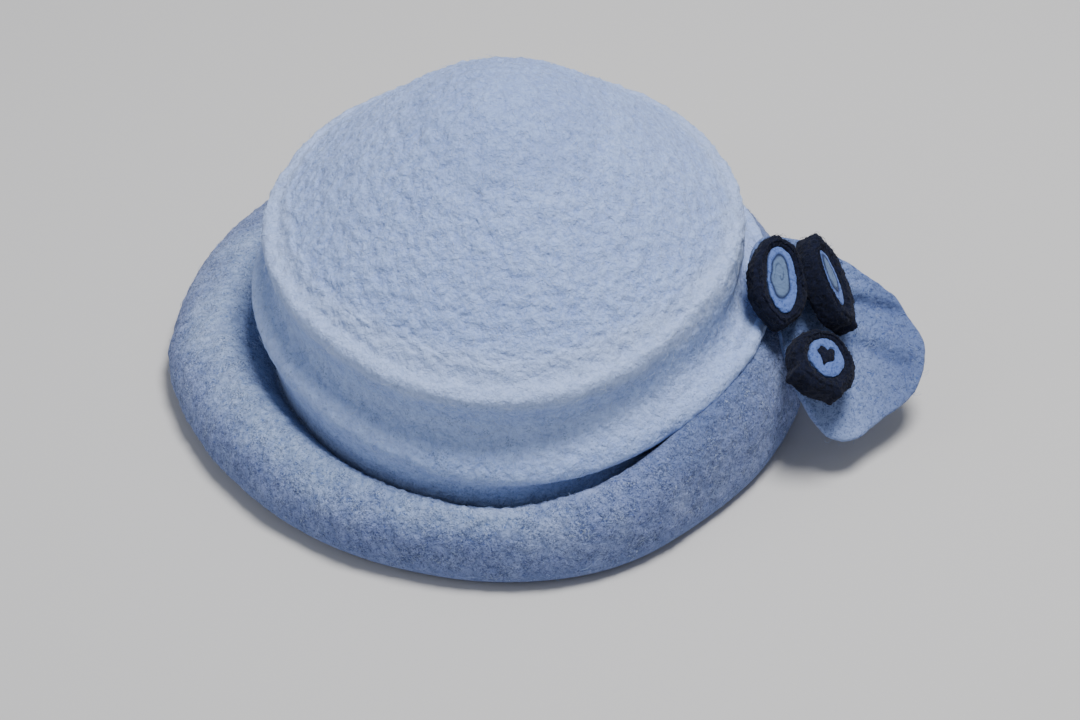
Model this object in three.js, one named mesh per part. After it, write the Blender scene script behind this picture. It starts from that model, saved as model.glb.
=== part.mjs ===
// A hand-felted cloche hat lying on its brim: domed crown with two soft ridges, turned-up brim,
// and at its right side a felt leaf with three slices of a felt roll. Millimetres, +Z up.
import * as THREE from 'three';

// Driving dimensions
const felt = 3;
const leafFelt = 2.4;
// Clearance between neighbouring pieces
const gap = 0.3;
const crownHalfWidth = 92.9;
const crownHalfDepth = 97.6;
const crownHeight = 135;
// The deepest unevenness that the felt's table below is counted in
const wave = 10;
const segments = 56;

// Crown: the dome's foot and the lip that runs round it lie a little left of and behind the ridge
const lipReach = 0.935;
const lipHeight = 0.548;
const ridgeHeight = 0.363;
const ridgeFrom = 0.2;
const neckReach = 0.955;
const neckFoot = 0.055;
const domeFoot = 0.91;
const domeRows = 9;
const sideRows = 16;
const domeRoundness = 1.76;
const domeFullness = 1.235;
const lipShift = new THREE.Vector2(-2.2, 1.1);

// Sections of the crown's side from the dome down to the head opening: reach as a share of the
// ridge's half sizes, height as a share of the crown's height
const crownSections = [
  { name: 'dome_foot', reach: 0.868, height: 0.584 },
  { name: 'trough', reach: 0.895, height: 0.561 },
  { name: 'lip_top', reach: 0.92, height: 0.562 },
  { name: 'lip_crest', reach: 0.938, height: 0.546 },
  { name: 'lip_under', reach: 0.932, height: 0.521 },
  { name: 'groove', reach: 0.918, height: 0.481 },
  { name: 'flare', reach: 0.937, height: 0.424 },
  { name: 'ridge_top', reach: 0.977, height: 0.389 },
  { name: 'ridge_crest', reach: 1.0, height: 0.363 },
  { name: 'ridge_under', reach: 0.99, height: 0.326 },
  { name: 'under_wall', reach: 0.965, height: 0.274 },
  { name: 'neck_top', reach: neckReach, height: 0.222 },
  { name: 'neck', reach: neckReach, height: 0.13 },
  { name: 'neck_foot', reach: neckReach, height: neckFoot },
];

// Uneven felt round the crown: how far the lip stands out and up, and the ridge out, by the angle
// round the hat (0 at the right, -90 at the front), as shares of the wave
const crownWaves = [
  { angle: 180, lipOut: 0.13, lipUp: 0, ridgeOut: 0.37 },
  { angle: -162, lipOut: 0.08, lipUp: 0, ridgeOut: 0.27 },
  { angle: -135, lipOut: -0.08, lipUp: 0.05, ridgeOut: 0.06 },
  { angle: -112, lipOut: 0.08, lipUp: -0.05, ridgeOut: 0 },
  { angle: -90, lipOut: 0.2, lipUp: -0.16, ridgeOut: 0.05 },
  { angle: -74, lipOut: 0.1, lipUp: -0.08, ridgeOut: 0 },
  { angle: -58, lipOut: -0.12, lipUp: 0.08, ridgeOut: -0.05 },
  { angle: -42, lipOut: -0.38, lipUp: 0.3, ridgeOut: 0 },
  { angle: -25, lipOut: -0.42, lipUp: 0.55, ridgeOut: 0.05 },
  { angle: -5, lipOut: -0.25, lipUp: 0.45, ridgeOut: 0.1 },
  { angle: 20, lipOut: 0, lipUp: 0.15, ridgeOut: 0.26 },
  { angle: 60, lipOut: 0.1, lipUp: 0, ridgeOut: 0.12 },
  { angle: 110, lipOut: 0, lipUp: 0, ridgeOut: 0 },
  { angle: 150, lipOut: 0.08, lipUp: 0, ridgeOut: 0.25 },
];

// Brim round the hat: the furthest reach and the crest of the turned-up edge as shares of the
// ridge's oval, and the crest's height as a share of the crown's
const brimFaceRows = 15;
const edgeClearance = 1.2;
const floorContact = 0.1;
const grooveFloor = 13;
const flatFrom = 0.22;
const flatTo = 0.62;
const flatDip = 0.4;
const rootTurn = 0.06;
const turnUp = 1.3;
const curlSlope = 1.1;
const curlDrop = 3.5;

// The brim's rise from the floor to its crest: how far back in from the furthest reach towards the
// crest, and how high up to the crest
const brimFace = [
  { name: 'widest', inward: 0, rise: 0.34 },
  { name: 'shoulder', inward: 0.22, rise: 0.72 },
  { name: 'top', inward: 0.72, rise: 0.95 },
  { name: 'crest', inward: 1, rise: 1 },
];

// The curl behind the crest: how far from the crest to the free edge, and down to it
const brimCurl = [
  { name: 'over', inward: 0.38, fall: 0.12 },
  { name: 'slope', inward: 0.8, fall: 0.6 },
  { name: 'edge', inward: 1, fall: 1 },
];
const brimSections = [
  { angle: 180, reach: 1.41, crest: 1.165, height: 0.215 },
  { angle: -168, reach: 1.372, crest: 1.132, height: 0.22 },
  { angle: -150, reach: 1.295, crest: 1.087, height: 0.226 },
  { angle: -126, reach: 1.217, crest: 1.039, height: 0.226 },
  { angle: -108, reach: 1.174, crest: 1.031, height: 0.228 },
  { angle: -90, reach: 1.161, crest: 1.035, height: 0.241 },
  { angle: -70, reach: 1.16, crest: 1.015, height: 0.262 },
  { angle: -50, reach: 1.13, crest: 1.028, height: 0.312 },
  { angle: -30, reach: 1.162, crest: 1.04, height: 0.338 },
  { angle: -12, reach: 1.195, crest: 1.05, height: 0.342 },
  { angle: 20, reach: 1.172, crest: 1.076, height: 0.325 },
  { angle: 60, reach: 1.142, crest: 1.07, height: 0.27 },
  { angle: 100, reach: 1.19, crest: 1.07, height: 0.227 },
  { angle: 140, reach: 1.375, crest: 1.14, height: 0.213 },
];

// Trim: the plane of the leaf, and where on it the fan of the leaf starts
const trimPlace = new THREE.Vector3(98.2, -25.7, 50.4);
const trimTilt = 40;
const trimTurn = 35;
const leafLength = 62;
const leafColumns = 42;
const leafRings = 5;

// Leaf rim round its root: distance from the root, and how far the rim is bent out of the leaf's
// plane (minus is towards the hat), as shares of the leaf's length
const leafRim = [
  { angle: 77, reach: 0.477, lift: -0.02 },
  { angle: 51, reach: 0.503, lift: 0 },
  { angle: 16, reach: 0.579, lift: 0 },
  { angle: -2, reach: 0.668, lift: 0.02 },
  { angle: -15, reach: 0.808, lift: 0 },
  { angle: -24, reach: 0.881, lift: 0 },
  { angle: -33, reach: 0.958, lift: 0.02 },
  { angle: -48, reach: 0.989, lift: 0 },
  { angle: -57, reach: 0.95, lift: 0 },
  { angle: -71, reach: 0.873, lift: 0 },
  { angle: -84, reach: 0.839, lift: 0 },
  { angle: -92, reach: 0.765, lift: -0.02 },
  { angle: -97, reach: 0.677, lift: -0.03 },
  { angle: -101, reach: 0.526, lift: -0.04 },
  { angle: -108, reach: 0.36, lift: -0.024 },
  { angle: -125, reach: 0.2, lift: 0.027 },
  { angle: -155, reach: 0.12, lift: 0.02 },
  { angle: 180, reach: 0.12, lift: 0 },
  { angle: 145, reach: 0.18, lift: 0.016 },
  { angle: 120, reach: 0.25, lift: 0.01 },
  { angle: 102, reach: 0.33, lift: -0.01 },
];

// Slices of the felt roll: the middle of each on the leaf (from the leaf's root), its clearance to
// it, its half sizes, how it is turned (spin in the leaf's plane, swing to the right, nod upwards,
// in degrees) and how thick its wrap is
const sliceThickness = 9.5;
const sliceEdge = 0.8;
const slices = [
  {
    name: 'left_slice', x: 1.4, y: 11.6, seat: 0.8,
    half: 10.2, tall: 17, spin: -19, swing: -5, nod: 2, ring: 4.6,
  },
  {
    name: 'right_slice', x: 16.8, y: 4.2, seat: 0.3,
    half: 9, tall: 17.8, spin: -5, swing: 40, nod: 0, ring: 4.6,
  },
  {
    name: 'round_slice', x: 0.6, y: -22, seat: 0.3,
    half: 12.8, tall: 12.8, spin: 0, swing: 12, nod: 10, ring: 5,
  },
];
const heartHalf = 3.4;
const heartNotch = 1.7;

const palePowderBlue = '#b9c3d6';
const mottledBlue = '#6d7ba3';
const navy = '#2b3557';
const periwinkle = '#96a0c8';

function feltMaterial(color) {
  return new THREE.MeshStandardMaterial({ color, roughness: 0.95, metalness: 0 });
}

// The value of a column at an angle, read smoothly round a table whose rows hold an angle
function aroundTable(table, column, degrees) {
  const rows = [...table].sort((a, b) => a.angle - b.angle);
  const count = rows.length;
  const next = rows.findIndex((row) => row.angle > degrees);
  const after = next < 0 ? count : next;
  const row = (k) => {
    const turns = Math.floor(k / count);
    const found = rows[k - turns * count];
    return { angle: found.angle + 360 * turns, value: found[column] };
  };
  const [before, from, to, beyond] = [row(after - 2), row(after - 1), row(after), row(after + 1)];
  const span = to.angle - from.angle;
  const t = (degrees - from.angle) / span;
  const slopeFrom = ((to.value - before.value) / (to.angle - before.angle)) * span;
  const slopeTo = ((beyond.value - from.value) / (beyond.angle - from.angle)) * span;
  const t2 = t * t;
  const t3 = t2 * t;
  return (2 * t3 - 3 * t2 + 1) * from.value + (t3 - 2 * t2 + t) * slopeFrom
    + (3 * t2 - 2 * t3) * to.value + (t3 - t2) * slopeTo;
}

// Joins rings of points into a closed skin. A ring of one point is a pole; without poles the last
// ring joins the first, as round a tube bent into a hoop.
function loft(rings) {
  const positions = [];
  const starts = [];
  for (const ring of rings) {
    starts.push(positions.length / 3);
    for (const point of ring) positions.push(point.x, point.y, point.z);
  }
  const count = Math.max(...rings.map((ring) => ring.length));
  const at = (k, j) => starts[k] + (rings[k].length === 1 ? 0 : j % count);
  const faces = [];
  const poles = rings[0].length === 1;
  const bands = poles ? rings.length - 1 : rings.length;
  for (let k = 0; k < bands; k += 1) {
    const below = (k + 1) % rings.length;
    for (let j = 0; j < count; j += 1) {
      if (rings[below].length > 1) faces.push(at(k, j), at(below, j), at(below, j + 1));
      if (rings[k].length > 1) faces.push(at(k, j), at(below, j + 1), at(k, j + 1));
    }
  }
  const geometry = new THREE.BufferGeometry();
  geometry.setAttribute('position', new THREE.Float32BufferAttribute(positions, 3));
  geometry.setIndex(faces);
  geometry.computeVertexNormals();
  return geometry;
}

// Distance from the axis to the oval of the ridge
function ovalRadius(radians) {
  return 1 / Math.hypot(Math.cos(radians) / crownHalfWidth, Math.sin(radians) / crownHalfDepth);
}

// Points of an outline moved to one side of it, square to a chord that spans a few points, so that
// soft ridges are passed on softened
function besideOutline(outline, distance, span) {
  const last = outline.length - 1;
  return outline.map((point, k) => {
    const from = outline[Math.max(k - span, 0)];
    const to = outline[Math.min(k + span, last)];
    const along = to.clone().sub(from).normalize();
    return new THREE.Vector2(point.x + along.y * distance, point.y - along.x * distance);
  });
}

// The crown's outer outline: x is the share of the ridge's half sizes, y the height in millimetres
function crownOutline() {
  const domeRise = 1 - lipHeight;
  const dome = [];
  for (let k = 1; k < domeRows; k += 1) {
    const rho = domeFoot * Math.sin((Math.PI / 2) * (k / domeRows));
    const rise = Math.pow(1 - Math.pow(rho, domeRoundness), domeFullness);
    dome.push(new THREE.Vector2(rho * lipReach, (lipHeight + domeRise * rise) * crownHeight));
  }
  const side = crownSections.map(({ reach, height }) => (
    new THREE.Vector2(reach * crownHalfWidth, height * crownHeight)));
  const sideCurve = new THREE.SplineCurve(side).getSpacedPoints(sideRows);
  for (const point of sideCurve) point.x /= crownHalfWidth;
  return [...dome, ...sideCurve];
}

// One ring of the crown at a share of the oval and a height, with the lip's and ridge's unevenness
function crownRing(reach, height) {
  const share = height / crownHeight;
  const aboveRidge = THREE.MathUtils.smoothstep(share, ridgeHeight, lipHeight);
  const onDome = share > lipHeight ? Math.pow(Math.min(reach / lipReach, 1), 3) : 1;
  const lip = aboveRidge * onDome;
  const ridge = (1 - aboveRidge) * THREE.MathUtils.smoothstep(share, ridgeFrom, ridgeHeight);
  const ring = [];
  for (let j = 0; j < segments; j += 1) {
    const radians = (2 * Math.PI * j) / segments - Math.PI;
    const degrees = THREE.MathUtils.radToDeg(radians);
    const read = (column) => wave * aroundTable(crownWaves, column, degrees);
    const radius = reach * ovalRadius(radians) + lip * read('lipOut') + ridge * read('ridgeOut');
    ring.push(new THREE.Vector3(
      radius * Math.cos(radians) + aboveRidge * lipShift.x,
      radius * Math.sin(radians) + aboveRidge * lipShift.y,
      height + lip * read('lipUp'),
    ));
  }
  return ring;
}

function crownGeometry() {
  const outline = crownOutline();
  const scaled = outline.map(({ x, y }) => new THREE.Vector2(x * crownHalfWidth, y));
  const inside = besideOutline(scaled, felt, 2);
  const foot = inside.length - 1;
  inside[foot].y = outline[foot].y;
  const top = new THREE.Vector3(lipShift.x, lipShift.y, crownHeight);
  const outerRings = outline.map(({ x, y }) => crownRing(x, y));
  const innerRings = inside.map(({ x, y }) => crownRing(x / crownHalfWidth, y));
  return loft([
    [top],
    ...outerRings,
    ...innerRings.reverse(),
    [top.clone().setZ(crownHeight - felt)],
  ]);
}

// The middle of the brim's felt at one angle: from under the crown's foot out along the floor, up
// round the furthest reach, over the crest and down to the free edge
function brimPath(radians) {
  const degrees = THREE.MathUtils.radToDeg(radians);
  const oval = ovalRadius(radians);
  const read = (column) => oval * aroundTable(brimSections, column, degrees);
  const neck = neckReach * oval;
  const width = read('reach') - neck;
  const half = felt / 2;
  const crest = read('crest');
  const crestZ = crownHeight * aroundTable(brimSections, 'height', degrees) - half;
  const edge = neck + half + edgeClearance;
  const drop = Math.min(curlSlope * (crest - edge) + curlDrop, crestZ - grooveFloor);
  const reach = read('reach') - half;
  const rootZ = crownHeight * neckFoot - gap;
  const flatZ = half - flatDip;
  const points = [
    new THREE.Vector2(neck - half, rootZ),
    new THREE.Vector2(neck - half + rootTurn * width, rootZ / 2 + half / 2),
    new THREE.Vector2(neck + flatFrom * width, flatZ),
    new THREE.Vector2(neck + flatTo * width, flatZ),
    new THREE.Vector2(neck + (flatTo + 1) / 2 * width + half, 2 * half + turnUp),
    ...brimFace.map(({ inward, rise }) => (
      new THREE.Vector2(reach - inward * (reach - crest), rise * crestZ))),
    ...brimCurl.map(({ inward, fall }) => (
      new THREE.Vector2(crest - inward * (crest - edge), crestZ - fall * drop))),
  ];
  const path = new THREE.SplineCurve(points).getSpacedPoints(brimFaceRows);
  for (const point of path) point.y = Math.max(point.y, half);
  return path;
}

function brimGeometry() {
  const columns = [];
  for (let j = 0; j < segments; j += 1) {
    const radians = (2 * Math.PI * j) / segments - Math.PI;
    const path = brimPath(radians);
    const upper = besideOutline(path, -felt / 2, 1);
    const under = besideOutline(path, felt / 2, 1).reverse();
    const rootZ = crownHeight * neckFoot - gap;
    upper[0].y = rootZ;
    under[under.length - 1].y = rootZ;
    const loop = [...upper, ...under];
    columns.push(loop.map(({ x, y }) => {
      const level = y < floorContact ? 0 : y;
      return new THREE.Vector3(x * Math.cos(radians), x * Math.sin(radians), level);
    }));
  }
  const rings = columns[0].map((_, k) => columns.map((column) => column[k]));
  return loft(rings);
}

// A fan of felt: rings of growing size round the leaf's root, on its front and then on its back
function leafGeometry() {
  const ring = (share, depth) => {
    const points = [];
    for (let j = 0; j < leafColumns; j += 1) {
      const degrees = (360 * j) / leafColumns - 180;
      const radians = THREE.MathUtils.degToRad(degrees);
      const reach = leafLength * aroundTable(leafRim, 'reach', degrees) * share;
      const lift = leafLength * aroundTable(leafRim, 'lift', degrees) * share * share;
      points.push(new THREE.Vector3(reach * Math.cos(radians), reach * Math.sin(radians), lift - depth));
    }
    return points;
  };
  const shares = Array.from({ length: leafRings }, (_, k) => (k + 1) / leafRings);
  const front = shares.map((share) => ring(share, 0));
  const back = shares.map((share) => ring(share, leafFelt)).reverse();
  return loft([
    [new THREE.Vector3(0, 0, 0)],
    ...front,
    ...back,
    [new THREE.Vector3(0, 0, -leafFelt)],
  ]);
}

function ovalShape(half, tall) {
  return new THREE.Shape().absellipse(0, 0, half, tall, 0, 2 * Math.PI, false, 0);
}

// A heart's outline; the notch is the height of the dip between its lobes
function heartShape(half, notch) {
  const shape = new THREE.Shape();
  shape.moveTo(0, -1.25 * half);
  shape.bezierCurveTo(-0.5 * half, -0.7 * half, -1.2 * half, -0.2 * half, -half, 0.45 * half);
  shape.bezierCurveTo(-0.85 * half, 1.1 * half, -0.2 * half, 1.1 * half, 0, notch);
  shape.bezierCurveTo(0.2 * half, 1.1 * half, 0.85 * half, 1.1 * half, half, 0.45 * half);
  shape.bezierCurveTo(1.2 * half, -0.2 * half, 0.5 * half, -0.7 * half, 0, -1.25 * half);
  return shape;
}

// A flat-faced slab of a slice's thickness
function sliceGeometry(shape) {
  return new THREE.ExtrudeGeometry(shape, {
    depth: sliceThickness,
    bevelEnabled: false,
    curveSegments: 10,
  });
}

// The same slab with its edges softened
function softSliceGeometry(shape) {
  return new THREE.ExtrudeGeometry(shape, {
    depth: sliceThickness - 2 * sliceEdge,
    bevelThickness: sliceEdge,
    bevelSize: sliceEdge,
    bevelOffset: -sliceEdge,
    bevelSegments: 1,
    curveSegments: 10,
  }).translate(0, 0, sliceEdge);
}

function named(name, geometry, color) {
  const mesh = new THREE.Mesh(geometry, feltMaterial(color));
  mesh.name = name;
  return mesh;
}

// A slice: the thick outer wrap and, a gap inside it, the core; the round one has a heart in its core
function makeSlice({ name, x, y, seat, half, tall, spin, swing, nod, ring }) {
  const slice = new THREE.Group();
  const wrapShape = ovalShape(half, tall);
  wrapShape.holes.push(ovalShape(half - ring, tall - ring));
  slice.add(named(`${name}_wrap`, softSliceGeometry(wrapShape), navy));
  const coreShape = ovalShape(half - ring - gap, tall - ring - gap);
  if (name === 'round_slice') {
    coreShape.holes.push(heartShape(heartHalf + gap, heartNotch + 3 * gap));
    const heart = sliceGeometry(heartShape(heartHalf, heartNotch));
    slice.add(named(`${name}_heart`, heart, navy));
  }
  slice.add(named(`${name}_core`, sliceGeometry(coreShape), periwinkle));
  const [spun, swung, nodded] = [spin, swing, nod].map(THREE.MathUtils.degToRad);
  slice.rotation.set(-nodded, swung, spun, 'ZYX');
  const rise = Math.hypot(half * Math.sin(swung), tall * Math.sin(nodded) * Math.cos(swung));
  slice.position.set(x, y, seat + rise);
  return slice;
}

const hat = new THREE.Group();
hat.add(named('crown', crownGeometry(), palePowderBlue));
hat.add(named('brim', brimGeometry(), mottledBlue));

const trim = new THREE.Group();
trim.add(named('leaf', leafGeometry(), mottledBlue));
for (const slice of slices) trim.add(makeSlice(slice));
trim.position.copy(trimPlace);
trim.rotation.set(
  THREE.MathUtils.degToRad(trimTilt),
  0,
  THREE.MathUtils.degToRad(trimTurn),
  'ZYX',
);
hat.add(trim);

// The origin is on the floor under the middle of the whole hat
const assembly = new THREE.Group();
assembly.add(hat);
hat.updateMatrixWorld(true);
const box = new THREE.Box3().setFromObject(hat, true);
hat.position.set(-(box.min.x + box.max.x) / 2, -(box.min.y + box.max.y) / 2, -box.min.z);

export default assembly;
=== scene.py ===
# %% [markdown]
# # A hand-felted cloche hat
#
# The hat is wet-felted wool: a pale domed crown with two soft ridges, a mottled brim that rolls up
# all round, and at one side a felt leaf with three slices cut from a roll of felt. Felt has no
# weave and no seams, so nearly everything here is one idea: a smooth closed form with a soft,
# uneven skin, and a material whose grain is fibre instead of thread.
#
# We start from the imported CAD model. It gives the frame that every piece has to fit, in metres.

# %% Load the frame
import math

import bpy
import numpy as np
from mathutils import Euler, Matrix, Vector, noise


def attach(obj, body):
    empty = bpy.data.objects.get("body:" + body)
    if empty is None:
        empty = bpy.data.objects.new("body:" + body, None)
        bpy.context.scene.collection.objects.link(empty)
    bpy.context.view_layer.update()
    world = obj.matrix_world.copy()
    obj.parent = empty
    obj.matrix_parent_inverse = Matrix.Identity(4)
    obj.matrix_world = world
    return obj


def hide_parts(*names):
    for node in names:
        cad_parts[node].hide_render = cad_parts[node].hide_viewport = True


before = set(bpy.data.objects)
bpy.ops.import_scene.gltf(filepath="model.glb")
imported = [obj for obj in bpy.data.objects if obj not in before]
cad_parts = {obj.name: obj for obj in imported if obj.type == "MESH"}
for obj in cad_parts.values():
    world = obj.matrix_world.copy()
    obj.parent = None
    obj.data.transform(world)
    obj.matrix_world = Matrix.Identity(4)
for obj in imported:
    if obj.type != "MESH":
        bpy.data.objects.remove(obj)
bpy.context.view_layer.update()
MM = 0.001
print("frame:", sorted(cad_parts))

# %% [markdown]
# ## The hat's own axis and the camera
#
# The crown is nearly round, so its shapes are easiest to say round its own upright axis. The frame's
# origin is under the middle of the whole hat, trim included, so the axis stands a little to the
# left of it. Every shape below is worked out round the axis in millimetres and then moved there.
#
# The camera looks down at the hat as the photographer did: 43 degrees down with a long lens, which
# keeps the far side of the brim nearly as large as the near one.

# %% Axis and camera
AXIS = np.array([-11.466, -0.491, 0.0])
CAMERA_FROM_AXIS = (10.6, -714.4, 671.7)
CAMERA_DOWN = 43.0
CAMERA_LENS = 85.0

camera_data = bpy.data.cameras.new("camera")
camera_data.lens = CAMERA_LENS
camera_data.sensor_width = 36.0
camera = bpy.data.objects.new("camera", camera_data)
camera.location = Vector(np.array(CAMERA_FROM_AXIS) + AXIS) * MM
camera.rotation_euler = (math.radians(90 - CAMERA_DOWN), 0, 0)
bpy.context.scene.collection.objects.link(camera)
bpy.context.scene.camera = camera
print("camera stands", round(camera.location.length, 3), "m from the middle of the hat")

# %% [markdown]
# ## Floor and light
#
# Felt is read by its shading, so the light is one soft lamp high above and a little to the right, a
# weak fill from the left, and a pale surround that fills the shadows. The side band under the lip then
# goes darker than the dome, as it does in the photograph; at the right, painted shade darkens it more.

# %% Floor and light
FLOOR_HALF = 3.0
FLOOR_COLOUR = (0.62, 0.61, 0.6, 1)
SKY_COLOUR = (0.86, 0.9, 1.0, 1)
SKY_STRENGTH = 0.31
HAT_MIDDLE = (0, 0, 0.06)

floor_mesh = bpy.data.meshes.new("floor")
corners = [(-1, -1), (1, -1), (1, 1), (-1, 1)]
floor_points = [(x * FLOOR_HALF, y * FLOOR_HALF, 0) for x, y in corners]
floor_mesh.from_pydata(floor_points, [], [(0, 1, 2, 3)])
floor = bpy.data.objects.new("floor", floor_mesh)
bpy.context.scene.collection.objects.link(floor)
floor_material = bpy.data.materials.new("pale_floor")
floor_material.use_nodes = True
floor_shader = floor_material.node_tree.nodes["Principled BSDF"]
floor_shader.inputs["Base Color"].default_value = FLOOR_COLOUR
floor_shader.inputs["Roughness"].default_value = 0.85
floor_mesh.materials.append(floor_material)


def soft_lamp(name, place, size, power, colour):
    """A round lamp, size metres wide, that shines on the middle of the hat."""
    lamp_data = bpy.data.lights.new(name, "AREA")
    lamp_data.shape = "DISK"
    lamp_data.size = size
    lamp_data.energy = power
    lamp_data.color = colour
    lamp = bpy.data.objects.new(name, lamp_data)
    lamp.location = place
    lamp.rotation_mode = "QUATERNION"
    lamp.rotation_quaternion = (Vector(HAT_MIDDLE) - Vector(place)).to_track_quat("-Z", "Y")
    bpy.context.scene.collection.objects.link(lamp)


soft_lamp("overhead", place=(0.22, 0.0, 1.22), size=0.42, power=18.0, colour=(1.0, 1.0, 1.0))
soft_lamp("left_fill", place=(-1.2, -0.5, 0.8), size=0.9, power=3.0, colour=(0.9, 0.95, 1.0))
world = bpy.data.worlds.new("studio")
world.use_nodes = True
sky = world.node_tree.nodes["Background"]
sky.inputs["Color"].default_value = SKY_COLOUR
sky.inputs["Strength"].default_value = SKY_STRENGTH
bpy.context.scene.world = world

# %% [markdown]
# ## Reading a table round the hat
#
# Hand-made felt is never the same twice round. Instead of sculpting, we keep short tables: one row
# for each angle where the shape changes, and a smooth curve between the rows that closes on itself.
# Angle 0 is the right side, where the leaf is, and -90 is the front. Four more helpers do the rest:
# a table, a soft step, a soft hump, and a smooth curve through a few points.

# %% Smooth values from a table
def table(columns, *rows):
    """Rows of plain numbers, each under its column's name."""
    return [dict(zip(columns.split(), row)) for row in rows]


def around(rows, column, degrees):
    """The column's value at each angle, on a smooth closed curve through the table's rows."""
    rows = sorted(rows, key=lambda row: row["angle"])
    angles = np.array([row["angle"] for row in rows], float)
    values = np.array([row[column] for row in rows], float)
    angles = np.concatenate([angles[-2:] - 360, angles, angles[:2] + 360])
    values = np.concatenate([values[-2:], values, values[:2]])
    degrees = (np.asarray(degrees, float) - angles[2]) % 360 + angles[2]
    k = np.searchsorted(angles, degrees, side="right") - 1
    k = np.clip(k, 1, len(angles) - 3)
    span = angles[k + 1] - angles[k]
    t = (degrees - angles[k]) / span
    slope_from = (values[k + 1] - values[k - 1]) / (angles[k + 1] - angles[k - 1]) * span
    slope_to = (values[k + 2] - values[k]) / (angles[k + 2] - angles[k]) * span
    return (
        (2 * t**3 - 3 * t**2 + 1) * values[k]
        + (t**3 - 2 * t**2 + t) * slope_from
        + (3 * t**2 - 2 * t**3) * values[k + 1]
        + (t**3 - t**2) * slope_to
    )


def smoothstep(value, low, high):
    t = np.clip((value - low) / (high - low), 0, 1)
    return t * t * (3 - 2 * t)


def bell(distance, width):
    """A soft hump: 1 in its middle, nearly 0 from about two widths on."""
    return np.exp(-((distance / width) ** 2))


def through(points, count):
    """Evenly spaced points on a smooth open curve through a short list of points."""
    p = np.array(points, float)
    p = np.vstack([2 * p[0] - p[1], p, 2 * p[-1] - p[-2]])
    fine = []
    for a, b, c, d in zip(p[:-3], p[1:-2], p[2:-1], p[3:]):
        for t in np.linspace(0, 1, 40, endpoint=False):
            fine.append(
                0.5 * (2 * b + (c - a) * t + (2 * a - 5 * b + 4 * c - d) * t**2
                       + (3 * b - a - 3 * c + d) * t**3)
            )
    fine = np.array(fine + [p[-2]])
    length = np.concatenate([[0], np.cumsum(np.linalg.norm(np.diff(fine, axis=0), axis=1))])
    even = np.linspace(0, length[-1], count)
    return np.column_stack([np.interp(even, length, fine[:, i]) for i in range(fine.shape[1])])


print("half way between two rows:", around(table("angle value", (0, 1), (180, 3)), "value", 90))

# %% [markdown]
# ## A skin from rings
#
# Crown, brim, leaf and slices are all the same kind of surface: rings of points, one inside the
# other, joined into a grid. A mesh built this way has clean quads that follow the form, which is
# what the displacement later on needs. A ring may shrink to a single pole in the middle.

# %% Mesh from rings
def ring_mesh(name, rings, first_pole=None, last_pole=None, hoop=False):
    """A closed mesh from rings (count, segments, 3) in millimetres round the hat's axis."""
    rings = np.asarray(rings, float)
    count, segments, _ = rings.shape
    verts = rings.reshape(-1, 3)
    index = np.arange(count * segments).reshape(count, segments)
    faces = []
    pairs = range(count) if hoop else range(count - 1)
    for k in pairs:
        a, b = index[k], index[(k + 1) % count]
        faces += np.column_stack([a, b, np.roll(b, -1), np.roll(a, -1)]).tolist()
    if first_pole is not None:
        pole = len(verts)
        verts = np.vstack([verts, first_pole])
        faces += [(pole, a, b) for a, b in zip(index[0].tolist(), np.roll(index[0], -1).tolist())]
    if last_pole is not None:
        pole = len(verts)
        verts = np.vstack([verts, last_pole])
        faces += [(pole, b, a) for a, b in zip(index[-1].tolist(), np.roll(index[-1], -1).tolist())]
    mesh = bpy.data.meshes.new(name)
    mesh.from_pydata(((verts + AXIS) * MM).tolist(), [], faces)
    mesh.polygons.foreach_set("use_smooth", [True] * len(mesh.polygons))
    mesh.update()
    piece = bpy.data.objects.new(name, mesh)
    bpy.context.scene.collection.objects.link(piece)
    return piece


def points_of(piece):
    """The piece's points in millimetres round the hat's axis, and its outward normals."""
    count = len(piece.data.vertices)
    places = np.empty(count * 3)
    piece.data.vertices.foreach_get("co", places)
    normals = np.empty(count * 3)
    piece.data.vertices.foreach_get("normal", normals)
    return places.reshape(-1, 3) / MM - AXIS, normals.reshape(-1, 3)


def move_points(piece, places):
    piece.data.vertices.foreach_set("co", ((places + AXIS) * MM).ravel())
    piece.data.update()


def add_value(piece, name, values):
    """A number at each point of the piece, which its material can read."""
    attribute = piece.data.attributes.new(name, "FLOAT", "POINT")
    attribute.data.foreach_set("value", np.asarray(values, np.float32).ravel())


def triangles(piece):
    return sum(len(face.vertices) - 2 for face in piece.data.polygons)


# %% [markdown]
# ## Felt's uneven skin
#
# Wet felting leaves rounded pebbles a few millimetres wide with soft creases between them, and
# longer swells where the hand pressed. Two functions give such pebbles. Folding a smooth noise at
# zero makes hills with narrow valleys. The gap between the nearest and the second nearest of
# scattered points makes bumps like those of orange peel. The mesh's points are moved along their
# normals, so the relief is real geometry and shows in the outline as well.

# %% Relief functions
def noise_at(places, size, seed):
    """Smooth noise from -1 to 1 at each point; size is the width of a swell in millimetres."""
    offset = Vector((13.7 * seed, 7.1 * seed, 3.3 * seed))
    return np.array([noise.noise(Vector(p) / size + offset) for p in places])


def sideways_at(places, size, seeds):
    """A noise for each axis, by which points are pushed so that a pattern isn't regular."""
    return np.column_stack([noise_at(places, size, seed) for seed in seeds])


def swell_at(places, swells):
    """Long soft waves: a sum of noises, each with its height, its width and its seed."""
    return sum(height * noise_at(places, width, seed) for height, width, seed in swells)


def pebbles_at(places, size, seed):
    """Rounded hills from 0 to about 1 with narrow creases between them."""
    bent = places + 0.35 * size * sideways_at(places, size * 1.3, (seed + 11, seed + 12, seed + 13))
    return np.minimum(np.abs(noise_at(bent, size, seed)) * 2.2, 1.0)


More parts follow.
